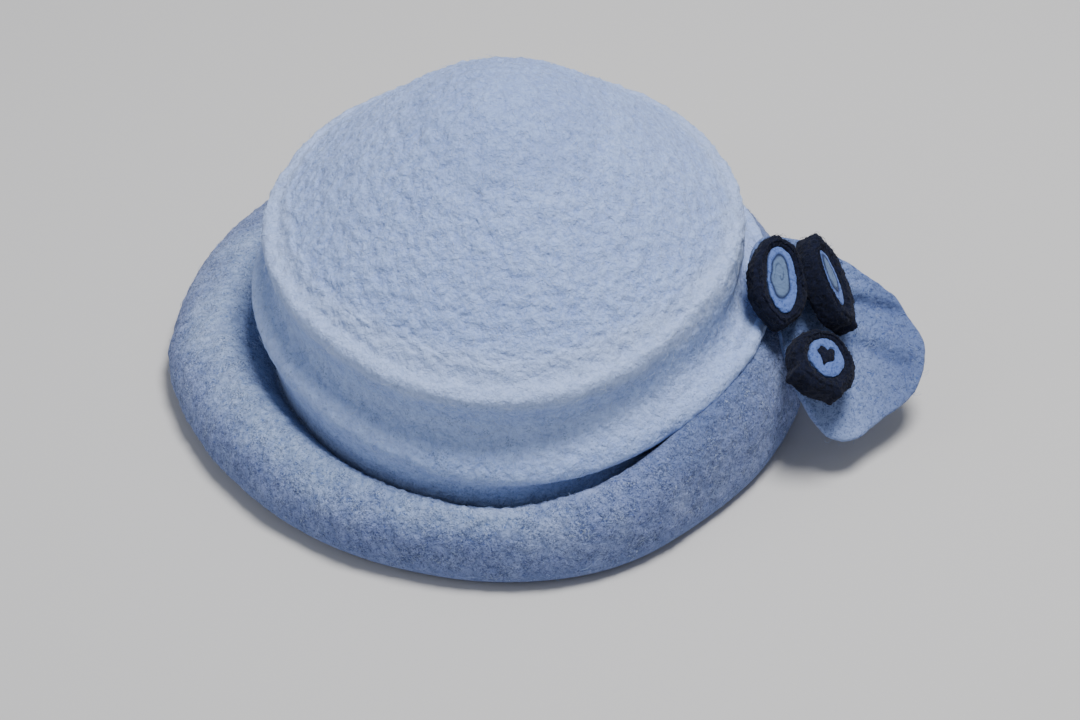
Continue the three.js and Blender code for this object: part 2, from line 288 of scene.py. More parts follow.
def cells_at(places, size, seed):
    """Bumps like those of orange peel: 0 in the creases between them, 1 on top."""
    offset = Vector((5.3 * seed, 2.9 * seed, 8.1 * seed))
    bent = places + 0.4 * size * sideways_at(places, size * 0.9, (seed + 14, seed + 15, seed + 16))
    gaps = []
    for place in bent:
        near, second = noise.voronoi(Vector(place) / size + offset)[0][:2]
        gaps.append(second - near)
    return smoothstep(np.array(gaps), -0.1, 0.6)


print("a pebble's height at the origin:", pebbles_at(np.zeros((1, 3)), 5.0, 1).round(2))

# %% [markdown]
# ## Crown
#
# Seen from above the crown is an oval. One table gives its section as shares of that oval's half
# sizes and of the crown's height: dome, a shallow trough, the raised lip, the concave side band,
# the broader ridge and the wall that goes down into the brim. The inside is the same section moved
# in by the felt's thickness.
#
# A second table says how this section changes round the hat. Lip and ridge move out and up, counted
# in steps of one wave. Four more columns are millimetres: the valley above the ridge gets deeper,
# the ridge sags, a gutter runs along its top, and the wall below it is undercut. At the right the
# lip is soft, so there the section is blended with a more rounded copy of itself.

# %% Crown sizes
CROWN_HALF_WIDTH = 92.9
CROWN_HALF_DEPTH = 97.6
CROWN_HEIGHT = 135.0
FELT = 3.0
WAVE = 10.0  # one step of the columns lip_out, lip_up and ridge_out
NECK_SHARE = 0.955
NECK_FOOT = 0.055 * CROWN_HEIGHT
LIP_SHARE = 0.935
LIP_HEIGHT = 0.548
RIDGE_HEIGHT = 0.363
LIP_SHIFT = np.array([-2.2, 1.1])
DOME_ROUNDNESS = 1.76
DOME_FULLNESS = 1.235
CROWN_SEGMENTS = 420
DOME_ROWS = 86
SIDE_ROWS = 84
INSIDE_STEP = 5
INSIDE_SPAN = 12
OUTLINE_SOFTNESS = 3.0
ROUNDED_SOFTNESS = 8.0
RIDGE_FROM = 0.2
SAG_WIDTH = 0.085
VALLEY_HEIGHT, VALLEY_WIDTH = 0.418, 0.034
GUTTER_HEIGHT, GUTTER_WIDTH = 0.402, 0.02
UNDERCUT_HEIGHT, UNDERCUT_WIDTH = 0.245, 0.06

CROWN_SECTIONS = table(
    "name reach height",
    ("dome_foot", 0.84, 0.608),
    ("trough", 0.884, 0.562),
    ("lip_top", 0.914, 0.569),
    ("lip_crest", 0.943, 0.551),
    ("lip_under", 0.936, 0.516),
    ("groove", 0.909, 0.47),
    ("flare", 0.92, 0.418),
    ("ridge_top", 0.97, 0.392),
    ("ridge_crest", 1.004, 0.362),
    ("ridge_under", 0.994, 0.316),
    ("under_wall", 0.984, 0.268),
    ("neck_top", 0.976, 0.21),
    ("neck", 0.962, 0.13),
    ("neck_foot", NECK_SHARE, 0.055),
)

CROWN_WAVES = table(
    "angle lip_out lip_up ridge_out valley sag round gutter undercut",
    (180, 0.13, 0, 0.37, 1.0, 0, 0.15, 0, 0),
    (-162, 0.08, 0, 0.27, 0.8, -1.0, 0.1, 0, 0),
    (-135, -0.08, -0.1, 0.06, 0.6, -3.5, 0.05, 0, 0),
    (-112, 0.08, -0.2, 0, 0.5, -6.5, 0, 0, 0),
    (-90, 0.2, -0.24, 0.05, 0.5, -8.5, 0, 0, 1.0),
    (-74, 0.1, -0.2, 0, 0.6, -8.5, 0.05, 0, 4.0),
    (-58, -0.12, -0.08, -0.05, 1.0, -6.5, 0.25, 0.3, 5.0),
    (-42, -0.3, 0.18, 0.14, 2.4, -2.5, 0.45, 1.8, 3.0),
    (-25, -0.2, 0.35, 0.4, 4.2, 1.2, 0.5, 4.8, 1.0),
    (-5, 0.05, 0.25, 0.52, 5.4, 1.8, 0.55, 5.4, 1.0),
    (20, 0.2, 0.1, 0.46, 4.8, 1.2, 0.4, 4.4, 1.0),
    (60, 0.22, 0, 0.12, 2.6, 0, 0.2, 1.0, 1.0),
    (110, 0, 0, 0, 1.0, 0, 0.2, 0, 0),
    (150, 0.08, 0, 0.25, 1.0, 0, 0.2, 0, 0),
)


# %% Crown form
def oval_radius(radians):
    """Distance from the hat's axis to the oval of the lower ridge."""
    return 1 / np.hypot(np.cos(radians) / CROWN_HALF_WIDTH, np.sin(radians) / CROWN_HALF_DEPTH)


def beside(outline, distance, span):
    """An outline moved to one side, square to chords over a few points, which softens ridges."""
    k = np.arange(len(outline))
    along = outline[np.minimum(k + span, len(outline) - 1)] - outline[np.maximum(k - span, 0)]
    along /= np.linalg.norm(along, axis=1)[:, None]
    return outline + distance * np.column_stack([along[:, 1], -along[:, 0]])


def crown_outline():
    """The crown's section: share of the oval and height, from the tip down to the foot."""
    foot = CROWN_SECTIONS[0]
    rho_foot = foot["reach"] / LIP_SHARE
    rho = rho_foot * np.sin(np.linspace(0, math.pi / 2, DOME_ROWS + 1))[1:-1]
    rise = (1 - rho**DOME_ROUNDNESS) ** DOME_FULLNESS
    dome = np.column_stack([rho * LIP_SHARE, (LIP_HEIGHT + (1 - LIP_HEIGHT) * rise) * CROWN_HEIGHT])
    side = through(
        [(row["reach"] * CROWN_HALF_WIDTH, row["height"] * CROWN_HEIGHT) for row in CROWN_SECTIONS],
        SIDE_ROWS,
    )
    side[:, 0] /= CROWN_HALF_WIDTH
    return np.vstack([dome, side])


def soften_outline(outline, softness):
    """The outline averaged along itself over a few millimetres, so that no bend is sharp."""
    scaled = outline * [CROWN_HALF_WIDTH, 1]
    run = np.concatenate([[0], np.cumsum(np.linalg.norm(np.diff(scaled, axis=0), axis=1))])
    weight = bell(run[:, None] - run[None, :], softness) * np.gradient(run)[None, :]
    soft = (weight @ outline) / weight.sum(axis=1)[:, None]
    ends = np.minimum(run, run[-1] - run)[:, None]
    return outline + (soft - outline) * smoothstep(ends, 6.0, 12.0)


def crown_rings(outline):
    """Rings of the crown, with lip and ridge wandering as the table says."""
    radians = np.linspace(-math.pi, math.pi, CROWN_SEGMENTS, endpoint=False)
    degrees = np.degrees(radians)
    wave = {column: around(CROWN_WAVES, column, degrees) for column in CROWN_WAVES[0]}
    for column in ("lip_out", "lip_up", "ridge_out"):
        wave[column] = WAVE * wave[column]
    rings = []
    for reach, height in outline:
        share = height / CROWN_HEIGHT
        above = smoothstep(share, RIDGE_HEIGHT, LIP_HEIGHT)
        on_dome = min(reach / LIP_SHARE, 1) ** 3 if share > LIP_HEIGHT else 1.0
        ridge = (1 - above) * smoothstep(share, RIDGE_FROM, RIDGE_HEIGHT)
        radius = reach * oval_radius(radians)
        radius = radius + above * on_dome * wave["lip_out"] + ridge * wave["ridge_out"]
        radius -= wave["valley"] * bell(share - VALLEY_HEIGHT, VALLEY_WIDTH)
        radius -= wave["undercut"] * bell(share - UNDERCUT_HEIGHT, UNDERCUT_WIDTH)
        rise = height + above * on_dome * wave["lip_up"]
        rise = rise + wave["sag"] * bell(share - RIDGE_HEIGHT, SAG_WIDTH)
        rise = rise - wave["gutter"] * bell(share - GUTTER_HEIGHT, GUTTER_WIDTH)
        x = radius * np.cos(radians) + above * LIP_SHIFT[0]
        y = radius * np.sin(radians) + above * LIP_SHIFT[1]
        rings.append(np.column_stack([x, y, rise]))
    return np.array(rings)


outline = soften_outline(crown_outline(), OUTLINE_SOFTNESS)
scaled = outline * [CROWN_HALF_WIDTH, 1]
inside = beside(scaled, FELT, INSIDE_SPAN)[::INSIDE_STEP]
inside[-1, 1] = outline[-1, 1]
inside[:, 0] /= CROWN_HALF_WIDTH
rounded = soften_outline(crown_outline(), ROUNDED_SOFTNESS)
rounded_share = around(CROWN_WAVES, "round", np.linspace(-180, 180, CROWN_SEGMENTS, endpoint=False))
rounded_share = np.clip(rounded_share, 0, 1)[None, :, None]
outer_rings = crown_rings(outline) * (1 - rounded_share) + crown_rings(rounded) * rounded_share
inner_rings = crown_rings(inside)[::-1]
tip = np.array([LIP_SHIFT[0], LIP_SHIFT[1], CROWN_HEIGHT])
crown = ring_mesh(
    "crown_felt",
    np.concatenate([outer_rings, inner_rings]),
    first_pole=tip,
    last_pole=tip - [0, 0, FELT],
)
print("crown:", triangles(crown), "triangles")

# %% [markdown]
# The crown's relief is strongest on the dome, where the felt was rubbed least, and fades down the
# side. Two dents at the right front are where the lip was pinched, and a wide shallow one flattens it
# at the left front. The inside follows the swells and dents without the pebbles, so that the wall
# stays about as thick all over. The foot keeps its place, because the brim meets it there.

# %% Crown relief
DOME_FROM = (70.0, 78.0)
SIDE_FROM = (26.0, 44.0)
DOME_PEBBLES = 0.6
SIDE_PEBBLES = 0.4
CROWN_SWELLS = [(0.5, 34.0, 2), (0.3, 15.0, 3)]
DENTS = [
    {"name": "lip_pinch", "at": (59.5, -55.5, 77.5), "depth": 2.4, "across": 2.6, "along": 4.2},
    {"name": "pinch_trough", "at": (72.0, -34.0, 82.0), "depth": 1.2, "across": 4.0, "along": 12.0},
    {"name": "front_flat", "at": (-45.0, -74.0, 84.0), "depth": 0.8, "across": 14.0, "along": 20.0},
]


def dent_at(places, dent):
    """Depth of a soft dent, longer along the hat's round than across it."""
    centre = np.array(dent["at"])
    away = places - centre
    tangent = np.array([-centre[1], centre[0], 0]) / math.hypot(centre[0], centre[1])
    along = away @ tangent
    across = np.linalg.norm(away - np.outer(along, tangent), axis=1)
    return dent["depth"] * bell(along, dent["along"]) * bell(across, dent["across"])


places, normals = points_of(crown)
is_outer = np.zeros(len(places))
is_outer[: len(outline) * CROWN_SEGMENTS] = 1
is_outer[-2] = 1  # the tip; the last point is the one under it
dome_share = smoothstep(places[:, 2], *DOME_FROM)
side_share = smoothstep(places[:, 2], *SIDE_FROM)
swell = swell_at(places, CROWN_SWELLS)
outer_places = np.where(is_outer[:, None] > 0, places, 0.0)
peel = cells_at(outer_places, 4.6, 4)
strength = 0.65 + 0.5 * noise_at(outer_places, 12.0, 6)
fine = pebbles_at(outer_places, 2.4, 5) - 0.4
pebble_depth = is_outer * (SIDE_PEBBLES * side_share + DOME_PEBBLES * dome_share)
lumps = noise_at(outer_places, 4.2, 7)
pebbles = 0.7 * (peel - 0.6) * strength + 0.5 * fine + 0.8 * lumps
shell_move = swell * side_share - sum(dent_at(places, dent) for dent in DENTS)
relief = np.where(is_outer > 0, shell_move + pebble_depth * pebbles, -shell_move)
moved = places + normals * relief[:, None]
foot_lock = smoothstep(places[:, 2], NECK_FOOT, NECK_FOOT + 6)[:, None]
move_points(crown, places + (moved - places) * foot_lock)
# The crown's material paints the pebbles' tops lighter and the hollows between them darker from this
# mark, as painted light and shade.
tops = np.clip(peel * strength + 0.35 + 0.4 * fine + 0.4 * lumps, 0, 1.5)
add_value(crown, "pebble", tops * is_outer)
print("pebbles stand", round(float((pebble_depth * pebbles).max()), 2), "mm out of the crown")

# %% [markdown]
# ## Brim
#
# The brim is one band of felt. It leaves the head line, runs out flat along the floor, turns up
# round its widest reach and over the crest, and its free edge dips into the groove beside the crown.
# There it goes half a millimetre into the crown's wall, since crown and brim are one felt in the hat.
# A section is drawn for each angle from one table, so the roll is wide and low at the left and high
# and tight at the right, where it presses under the ridge.

# %% Brim sizes
BRIM_SEGMENTS = 600
BRIM_FACE_ROWS = 74
GAP = 0.3
EDGE_OVERLAP = 0.5
GROOVE_FLOOR = 18.0
EDGE_DROP = 2.5
DROP_SHARE = 0.65
TURN_UP = 1.3
FLAT_FROM = 0.22
FLAT_TO = 0.62
FLAT_DIP = 0.4
BRIM_SECTIONS = table(
    "angle reach crest height tuck",
    (180, 1.41, 1.165, 0.215, 0),
    (-168, 1.372, 1.132, 0.22, 0),
    (-150, 1.295, 1.087, 0.226, 0),
    (-126, 1.217, 1.052, 0.216, 0),
    (-108, 1.174, 1.05, 0.213, 0),
    (-90, 1.161, 1.055, 0.224, 0),
    (-70, 1.16, 1.035, 0.25, 0.6),
    (-50, 1.13, 1.028, 0.312, 1.6),
    (-30, 1.162, 1.04, 0.338, 1.8),
    (-12, 1.195, 1.05, 0.342, 1.8),
    (20, 1.172, 1.076, 0.325, 1.6),
    (60, 1.142, 1.06, 0.26, 1.0),
    (100, 1.19, 1.07, 0.227, 0.4),
    (140, 1.375, 1.14, 0.213, 0),
)
BRIM_FACE = table(
    "name inward rise",
    ("widest", 0.0, 0.34),
    ("shoulder", 0.22, 0.72),
    ("top", 0.72, 0.95),
    ("crest", 1.0, 1.0),
)
BRIM_CURL = table(
    "name inward fall",
    ("over", 0.3, 0.2),
    ("slope", 0.68, 0.66),
    ("valley", 0.88, 0.98),
    ("edge", 1.0, 0.9),
)


# %% Brim form
def brim_path(radians):
    """The middle of the brim's felt at one angle: distance from the axis and height."""
    degrees = math.degrees(radians)
    oval = float(oval_radius(radians))
    neck = NECK_SHARE * oval
    half = FELT / 2
    here = {column: float(around(BRIM_SECTIONS, column, degrees)) for column in BRIM_SECTIONS[0]}
    reach = oval * here["reach"] - half
    width = reach + half - neck
    crest = oval * here["crest"] - max(here["tuck"], 0)
    crest_z = CROWN_HEIGHT * here["height"] - half
    edge = neck + half - EDGE_OVERLAP
    drop = min(DROP_SHARE * max(crest - edge, 1.0) + EDGE_DROP, crest_z - GROOVE_FLOOR)
    root_z = NECK_FOOT - GAP
    points = [
        (neck - half, root_z),
        (neck - half + 0.06 * width, root_z / 2 + half / 2),
        (neck + FLAT_FROM * width, half - FLAT_DIP),
        (neck + FLAT_TO * width, half - FLAT_DIP),
        (neck + (FLAT_TO + 1) / 2 * width + half, 2 * half + TURN_UP),
    ]
    for row in BRIM_FACE:
        points.append((reach - row["inward"] * (reach - crest), row["rise"] * crest_z))
    for row in BRIM_CURL:
        points.append((crest - row["inward"] * (crest - edge), crest_z - row["fall"] * drop))
    path = through(points, BRIM_FACE_ROWS)
    path[:, 1] = np.maximum(path[:, 1], half)
    return path


def brim_section(radians):
    """The closed section of the brim's felt at one angle, its free edge rounded."""
    path = brim_path(radians)
    upper = beside(path, -FELT / 2, 2)
    under = beside(path, FELT / 2, 2)[::2]
    upper[0, 1] = under[0, 1] = NECK_FOOT - GAP
    tangent = path[-1] - path[-3]
    tangent /= np.linalg.norm(tangent)
    across = upper[-1] - path[-1]
    turns = np.linspace(0, math.pi, 7)[1:-1]
    edge = [path[-1] + across * math.cos(t) + tangent * FELT / 2 * math.sin(t) for t in turns]
    section = np.vstack([upper, edge, under[::-1]])
    section[:, 1] = np.where(section[:, 1] < 0.1, 0, section[:, 1])
    return section


angles = np.linspace(-math.pi, math.pi, BRIM_SEGMENTS, endpoint=False)
sections = np.array([brim_section(a) for a in angles])
brim_rings = np.stack([
    sections[:, :, 0] * np.cos(angles)[:, None],
    sections[:, :, 0] * np.sin(angles)[:, None],
    sections[:, :, 1],
], axis=2).transpose(1, 0, 2)
brim = ring_mesh("brim_felt", brim_rings, hoop=True)
print("brim:", triangles(brim), "triangles")

# %% [markdown]
# The roll is finer and more fibrous than the dome: short low pebbles, and long swells where it was
# rolled by hand. The part that lies on the floor stays flat. Three marks tell the material where to
# paint shade: between the pebbles' tops, on the slope behind the crest, and on the face that the ridge
# shades.

# %% Brim relief
BRIM_SWELLS = [(0.75, 26.0, 21), (0.35, 11.0, 22)]
BRIM_PEBBLES = 0.7
RIGHT_MIDDLE = -5.0

places, normals = points_of(brim)
from_axis = np.hypot(places[:, 0], places[:, 1])
free = smoothstep(places[:, 2], 2.0, 12.0) * smoothstep(from_axis, 94, 98)
swell = swell_at(places, BRIM_SWELLS)
pebbles = 0.5 * (cells_at(places, 4.2, 23) - 0.6) + 0.9 * (pebbles_at(places, 2.6, 24) - 0.4)
move_points(brim, places + normals * (free * (swell + BRIM_PEBBLES * pebbles))[:, None])
turn = np.arctan2(places[:, 1], places[:, 0])
crest_reach = oval_radius(turn) * around(BRIM_SECTIONS, "crest", np.degrees(turn))
behind = crest_reach - from_axis
# Marks where the material paints shade: the slope behind the crest, the hollows between the pebbles
# and the face under the ridge at the right.
add_value(brim, "shade_behind_crest", smoothstep(behind, -1.0, 8.0) * smoothstep(places[:, 2], 4.0, 10.0))
add_value(brim, "pebble", np.clip(pebbles + 0.5, 0, 1.5))
under_ridge = 1 - smoothstep(from_axis - oval_radius(turn), 4.0, 15.0)
from_right = np.abs((np.degrees(turn) - RIGHT_MIDDLE + 180) % 360 - 180)
right_side = 1 - smoothstep(from_right, 42.0, 75.0)
add_value(brim, "under_ridge", under_ridge * right_side * smoothstep(places[:, 2], 20.0, 30.0))
print("brim stands", round(float(places[:, 2].max()), 1), "mm high at its highest")

# %% [markdown]
# ## Leaf
#
# The leaf is a fan of flat felt, fastened at its root behind the slices. Its outline is again a
# table round one point, and its rim is bent a little out of the plane; both are shares of the leaf's
# length. Creases run from the root to the rim where the felt was pleated, and the felt beside them
# swells. The trim has its own tilted frame, in which the leaf and the slices are flat and easy to
# describe.

# %% Leaf sizes
TRIM_PLACE = Vector((98.2, -25.7, 50.4))
TRIM_TILT = 40.0
TRIM_TURN = 35.0
LEAF_LENGTH = 62.0
LEAF_FELT = 2.4
LEAF_COLUMNS = 240
LEAF_RINGS = 60
DEEPEST_BEND = -1.6
LEAF_SWELLS = [(1.2, 19.0, 31), (0.35, 8.0, 32)]
LEAF_PEBBLES = 0.16
LEAF_RIM = table(
    "angle reach lift",
    (77, 0.477, -0.02),
    (51, 0.503, 0),
    (16, 0.579, 0),
    (-2, 0.668, 0.02),
    (-15, 0.808, 0),
    (-24, 0.881, 0),
    (-33, 0.958, 0.02),
    (-48, 0.975, 0),
    (-57, 0.93, 0),
    (-71, 0.855, 0),
    (-84, 0.839, 0),
    (-92, 0.765, -0.02),
    (-97, 0.63, -0.03),
    (-101, 0.44, -0.04),
    (-108, 0.22, -0.024),
    (-125, 0.1, 0.027),
    (-155, 0.06, 0.02),
    (180, 0.07, 0),
    (145, 0.1, 0.016),
    (120, 0.17, 0.01),
    (102, 0.27, -0.01),
)
CREASES = [
    {"name": "upper", "from": (20, 0), "to": (49, -19), "depth": 1.8, "width": 1.6},
    {"name": "lower", "from": (19, -16), "to": (42, -39), "depth": 1.3, "width": 2.6},
    {"name": "root", "from": (4, -12), "to": (-2, -30), "depth": 0.8, "width": 2.5},
]
trim_turn = Euler((math.radians(TRIM_TILT), 0, math.radians(TRIM_TURN)))
trim_frame = Matrix.Translation(TRIM_PLACE) @ trim_turn.to_matrix().to_4x4()


# %% Leaf form
def placed(points, matrix):
    """Points given in a tilted frame, in millimetres round the hat's axis."""
    turn = np.array(matrix.to_3x3())
    return np.asarray(points) @ turn.T + np.array(matrix.translation)


def crease_at(flat, crease):
    """Depth of a crease at points of the leaf's plane; it fades out at both its ends."""
    start, end = np.array(crease["from"], float), np.array(crease["to"], float)
    along = (end - start) / np.linalg.norm(end - start)
    length = np.linalg.norm(end - start)
    run = (flat - start) @ along
    side = (flat - start) @ np.array([-along[1], along[0]])
    side = side - 0.9 * np.sin(run / length * math.pi)
    fade = smoothstep(run, -0.25 * length, 0.3 * length)
    fade = fade * (1 - smoothstep(run, 0.75 * length, 1.15 * length))
    valley = bell(side, crease["width"])
    fold = 0.55 * bell(side - 2.4 * crease["width"], 1.9 * crease["width"])
    return crease["depth"] * fade * (valley - fold)


def leaf_ring(share, depth, columns):
    """One ring of the leaf, at a share of its reach and a depth under its upper face."""
    degrees = np.linspace(-180, 180, columns, endpoint=False)
    reach = LEAF_LENGTH * around(LEAF_RIM, "reach", degrees) * share
    lift = LEAF_LENGTH * around(LEAF_RIM, "lift", degrees) * share**2
    x = reach * np.cos(np.radians(degrees))
    y = reach * np.sin(np.radians(degrees))
    return np.column_stack([x, y, lift - depth])


shares = np.linspace(0, 1, LEAF_RINGS + 1)[1:]
rim_mm = LEAF_FELT / 2
rim_share = rim_mm / LEAF_LENGTH
rounding = np.linspace(0, math.pi, 9)[1:-1]
front = [leaf_ring(s * (1 - rim_share), 0, LEAF_COLUMNS) for s in shares]
rim = [
    leaf_ring(1 - rim_share * (1 - math.sin(t)), rim_mm * (1 - math.cos(t)), LEAF_COLUMNS)
    for t in rounding
]
back = [leaf_ring(s * (1 - rim_share), LEAF_FELT, LEAF_COLUMNS) for s in shares[::-3]]
leaf_points = np.array(front + rim + back)
flat = leaf_points.reshape(-1, 3)[:, :2]
bend = np.zeros(len(flat))
for crease in CREASES:
    bend -= crease_at(flat, crease)
flat_places = np.column_stack([flat, np.zeros(len(flat))])
edge_share = smoothstep(np.hypot(flat[:, 0], flat[:, 1]), 12, 45)
bend += edge_share * swell_at(flat_places, LEAF_SWELLS)
leaf_points = leaf_points.reshape(-1, 3)
leaf_points[:, 2] += np.maximum(bend, DEEPEST_BEND)
leaf_points[:, :2] += 0.5 * edge_share[:, None] * sideways_at(flat_places, 6.0, (33, 34))
leaf_count = len(leaf_points)
leaf = ring_mesh(
    "leaf_felt_piece",
    placed(leaf_points, trim_frame).reshape(-1, LEAF_COLUMNS, 3),
    first_pole=placed([[0, 0, 0]], trim_frame)[0],
    last_pole=placed([[0, 0, -LEAF_FELT]], trim_frame)[0],
)
places, normals = points_of(leaf)
pebbles = pebbles_at(places, 3.2, 35) - 0.4 + 0.5 * (pebbles_at(places, 1.7, 36) - 0.4)
move_points(leaf, places + normals * (LEAF_PEBBLES * pebbles)[:, None])
add_value(leaf, "pebble", np.clip(pebbles + 0.4, 0, 1.5))
# The leaf's material paints its pleats darker from this mark, as painted shade.
painted_crease_shade = np.zeros(len(places))
for crease in CREASES:
    painted_crease_shade[:leaf_count] += np.maximum(crease_at(flat, crease), 0) / crease["depth"]
add_value(leaf, "crease", np.clip(painted_crease_shade, 0, 1))
print("leaf:", triangles(leaf), "triangles")

# %% [markdown]
# ## Slices of a felt roll
#
# The three ornaments are cut from one roll: a thick navy wrap round a periwinkle core, sliced like a
# cake. Cutting frees the fibres, so the cut faces swell out between the colours and the outer edge
# is soft and ragged. Every piece is one closed section carried round an oval, with an inner edge
# that meets the next colour. The round slice has a navy heart in its core.
#
# Each row of the table places one slice on the leaf: where it sits, its half width and half height,
# how it is spun, swung and nodded, and its core's size and place. Tufts stand out at an angle, by
# some millimetres, over a spread in degrees.

# %% Slice sizes
SLICE_THICKNESS = 9.5
HEART_AT = np.array([1.2, 1.8])
HEART_HALF = 3.5
HEART_NOTCH = 1.9
HEART_TURN = -52.0
SLICES = [
    {"name": "left_slice", "x": 1.4, "y": 11.6, "seat": 0.8, "half": 10.4, "tall": 16.4,
     "spin": -25, "swing": -5, "nod": 2, "core": (5.6, 12.6), "core_at": (0.3, 0.2), "seed": 50},
    {"name": "right_slice", "x": 15.4, "y": 4.2, "seat": 0.3, "half": 9.2, "tall": 17.0,
     "spin": -5, "swing": 31, "nod": 0, "core": (3.3, 10.6), "core_at": (-2.2, 1.4), "seed": 60},
    {"name": "round_slice", "x": 0.2, "y": -22.4, "seat": 0.3, "half": 12.6, "tall": 12.6,
     "spin": 0, "swing": 12, "nod": 10, "core": (7.4, 7.4), "core_at": (0.8, 0.8), "seed": 70},
]
TUFTS = {
    "left_slice": [(-95, 1.0, 14), (100, 0.6, 16)],
    "right_slice": [(-80, 1.4, 10), (88, 0.8, 12)],
    "round_slice": [(176, 2.2, 9), (-104, 1.8, 8), (35, 0.6, 14)],
}


# %% Slice form
def slice_frame(row):
    """The slice's own frame, lifted so that its lowest corner still lies on the leaf."""
    swing, nod = math.radians(row["swing"]), math.radians(row["nod"])
    turn = Euler((-nod, swing, math.radians(row["spin"]))).to_matrix().to_4x4()
    rise = math.hypot(row["half"] * math.sin(swing), row["tall"] * math.sin(nod) * math.cos(swing))
    return trim_frame @ Matrix.Translation((row["x"], row["y"], row["seat"] + rise)) @ turn


def oval_outline(half, tall, degrees, seed, ragged):
    """An oval's points, made uneven: a slow wobble and a finer one."""
    radians = np.radians(degrees)
    ring = np.column_stack([half * np.cos(radians), tall * np.sin(radians), np.zeros(len(degrees))])
    wobble = 1 + ragged * noise_at(ring, 9.0, seed) + 0.4 * ragged * noise_at(ring, 2.6, seed + 1)
    return ring[:, :2] * wobble[:, None]


def heart_outline(half, notch, degrees):
    """A tipped heart's points by angle round its middle, from four bends, as in the CAD model."""
    tip = math.radians(HEART_TURN)
    bends = [
        [(0, -1.25), (-0.5, -0.7), (-1.2, -0.2), (-1.0, 0.45)],
        [(-1.0, 0.45), (-0.85, 1.1), (-0.2, 1.1), (0, notch / half)],
        [(0, notch / half), (0.2, 1.1), (0.85, 1.1), (1.0, 0.45)],
        [(1.0, 0.45), (1.2, -0.2), (0.5, -0.7), (0, -1.25)],
    ]
    t = np.linspace(0, 1, 60)[:, None]
    points = np.vstack([
        (1 - t) ** 3 * a + 3 * (1 - t) ** 2 * t * b + 3 * (1 - t) * t**2 * c + t**3 * d
        for a, b, c, d in (np.array(bend, float) for bend in bends)
    ]) * half
    points = points @ np.array([[math.cos(tip), math.sin(tip)], [-math.sin(tip), math.cos(tip)]])
    turn = np.degrees(np.arctan2(points[:, 1], points[:, 0]))
    order = np.argsort(turn)
    reach = np.interp(degrees, turn[order], np.hypot(points[:, 0], points[:, 1])[order], period=360)
    radians = np.radians(degrees)
    return np.column_stack([reach * np.cos(radians), reach * np.sin(radians)])


def slab_section(edge, swell, full, rows):
    """Rows round a slab's section: share of its width, offset in millimetres, height.

    A full slab reaches its middle, so its section is open there and has no inner edge.
    """
    top, inward = SLICE_THICKNESS, 0 if full else edge
    quarter = np.linspace(0, math.pi / 2, 7)[1:-1]
    section = []
    for s in np.linspace(0, 1, rows):
        bulge = 1 - s**4 if full else 1 - (2 * s - 1) ** 4
        section.append((s, inward * (1 - s) - edge * s, top + swell * bulge))
    section += [(1, -edge * (1 - math.sin(t)), top - edge * (1 - math.cos(t))) for t in quarter]
    section += [(1, 0, z) for z in np.linspace(top - edge, edge, 8)]
    section += [(1, -edge * (1 - math.cos(t)), edge * (1 - math.sin(t))) for t in quarter]
    section += [(s, inward * (1 - s) - edge * s, 0) for s in np.linspace(1, 0, 6)]
    if full:
        return section[1:-1]
    section += [(0, edge * (1 - math.sin(t)), edge * (1 - math.cos(t))) for t in quarter]
    section += [(0, 0, z) for z in np.linspace(edge, top - edge, 5)]
    section += [(0, edge * (1 - math.cos(t)), top - edge * (1 - math.sin(t))) for t in quarter]
    return section


def slab(name, matrix, outer, inner=None, edge=0.8, swell=0.5, rows=24):
    """A cut slab of felt out to one outline, or between two, with soft edges and a swollen face."""
    full = inner is None
    inner = np.zeros_like(outer) if full else inner
    width = np.linalg.norm(outer - inner, axis=1)[:, None]
    along = (outer - inner) / np.maximum(width, 0.01)
    rings = [
        np.column_stack([inner + along * (share * width + offset), np.full(len(outer), z)])
        for share, offset, z in slab_section(edge, swell, full, rows)
    ]
    local = np.array(rings)
    poles = [[0, 0, SLICE_THICKNESS + swell], [0, 0, 0]] if full else []
    first, last = placed(poles, matrix) if full else (None, None)
    solid_rings = placed(local.reshape(-1, 3), matrix).reshape(local.shape)
    piece = ring_mesh(name, solid_rings, first, last, hoop=not full)
    return piece, np.vstack([local.reshape(-1, 3)] + ([poles] if full else []))


# %% [markdown]
# The core's own rolled layers show as a thin navy oval with a greyer, swirled middle. They are one
# felt, so they aren't separate pieces: we mark each point with how much navy line and how much
# middle it has, and press the line in a little. The material reads both marks.

# %% Make the slices
SLICE_COLUMNS = 200
CORE_LINE = 0.64
LINE_WIDTH = 0.34
SPIRAL_TURNS = 2.3
SEAM_GAP = 0.1


def core_marks(local, half, tall, seed):
    """How much of the navy line and of the grey-blue middle each point of a core has."""
    bent = local.copy()
    bent[:, 0] += 0.13 * half + 0.8 * noise_at(local, 5.0, seed + 3)
    bent[:, 1] += 0.8 * noise_at(local, 5.0, seed + 4) - 0.1 * tall
    share = np.hypot(bent[:, 0] / half, bent[:, 1] / tall)
    middle = 1 - smoothstep(share, CORE_LINE - 0.06, CORE_LINE + 0.02)
    oval = bell((share - CORE_LINE) * half, LINE_WIDTH)
    turn = np.arctan2(bent[:, 1] / tall, bent[:, 0] / half)
    spiral = (share * SPIRAL_TURNS - turn / (2 * math.pi)) % 1
    broken = smoothstep(noise_at(local, 4.5, seed + 6), -0.15, 0.2)
    swirl = bell(spiral - 0.5, 0.09) * (share < CORE_LINE - 0.08) * broken
    return np.clip(oval + 0.6 * swirl, 0, 1), middle


def soften(piece, depth, seed):
    """The ragged skin of cut felt: small pebbles and loose tufts along the normals."""
    places, normals = points_of(piece)
    tufts = pebbles_at(places, 2.4, seed) - 0.4 + 0.6 * (pebbles_at(places, 1.1, seed + 1) - 0.4)
    move_points(piece, places + normals * (depth * tufts)[:, None])
    add_value(piece, "pebble", np.clip(tufts + 0.4, 0, 1.5))


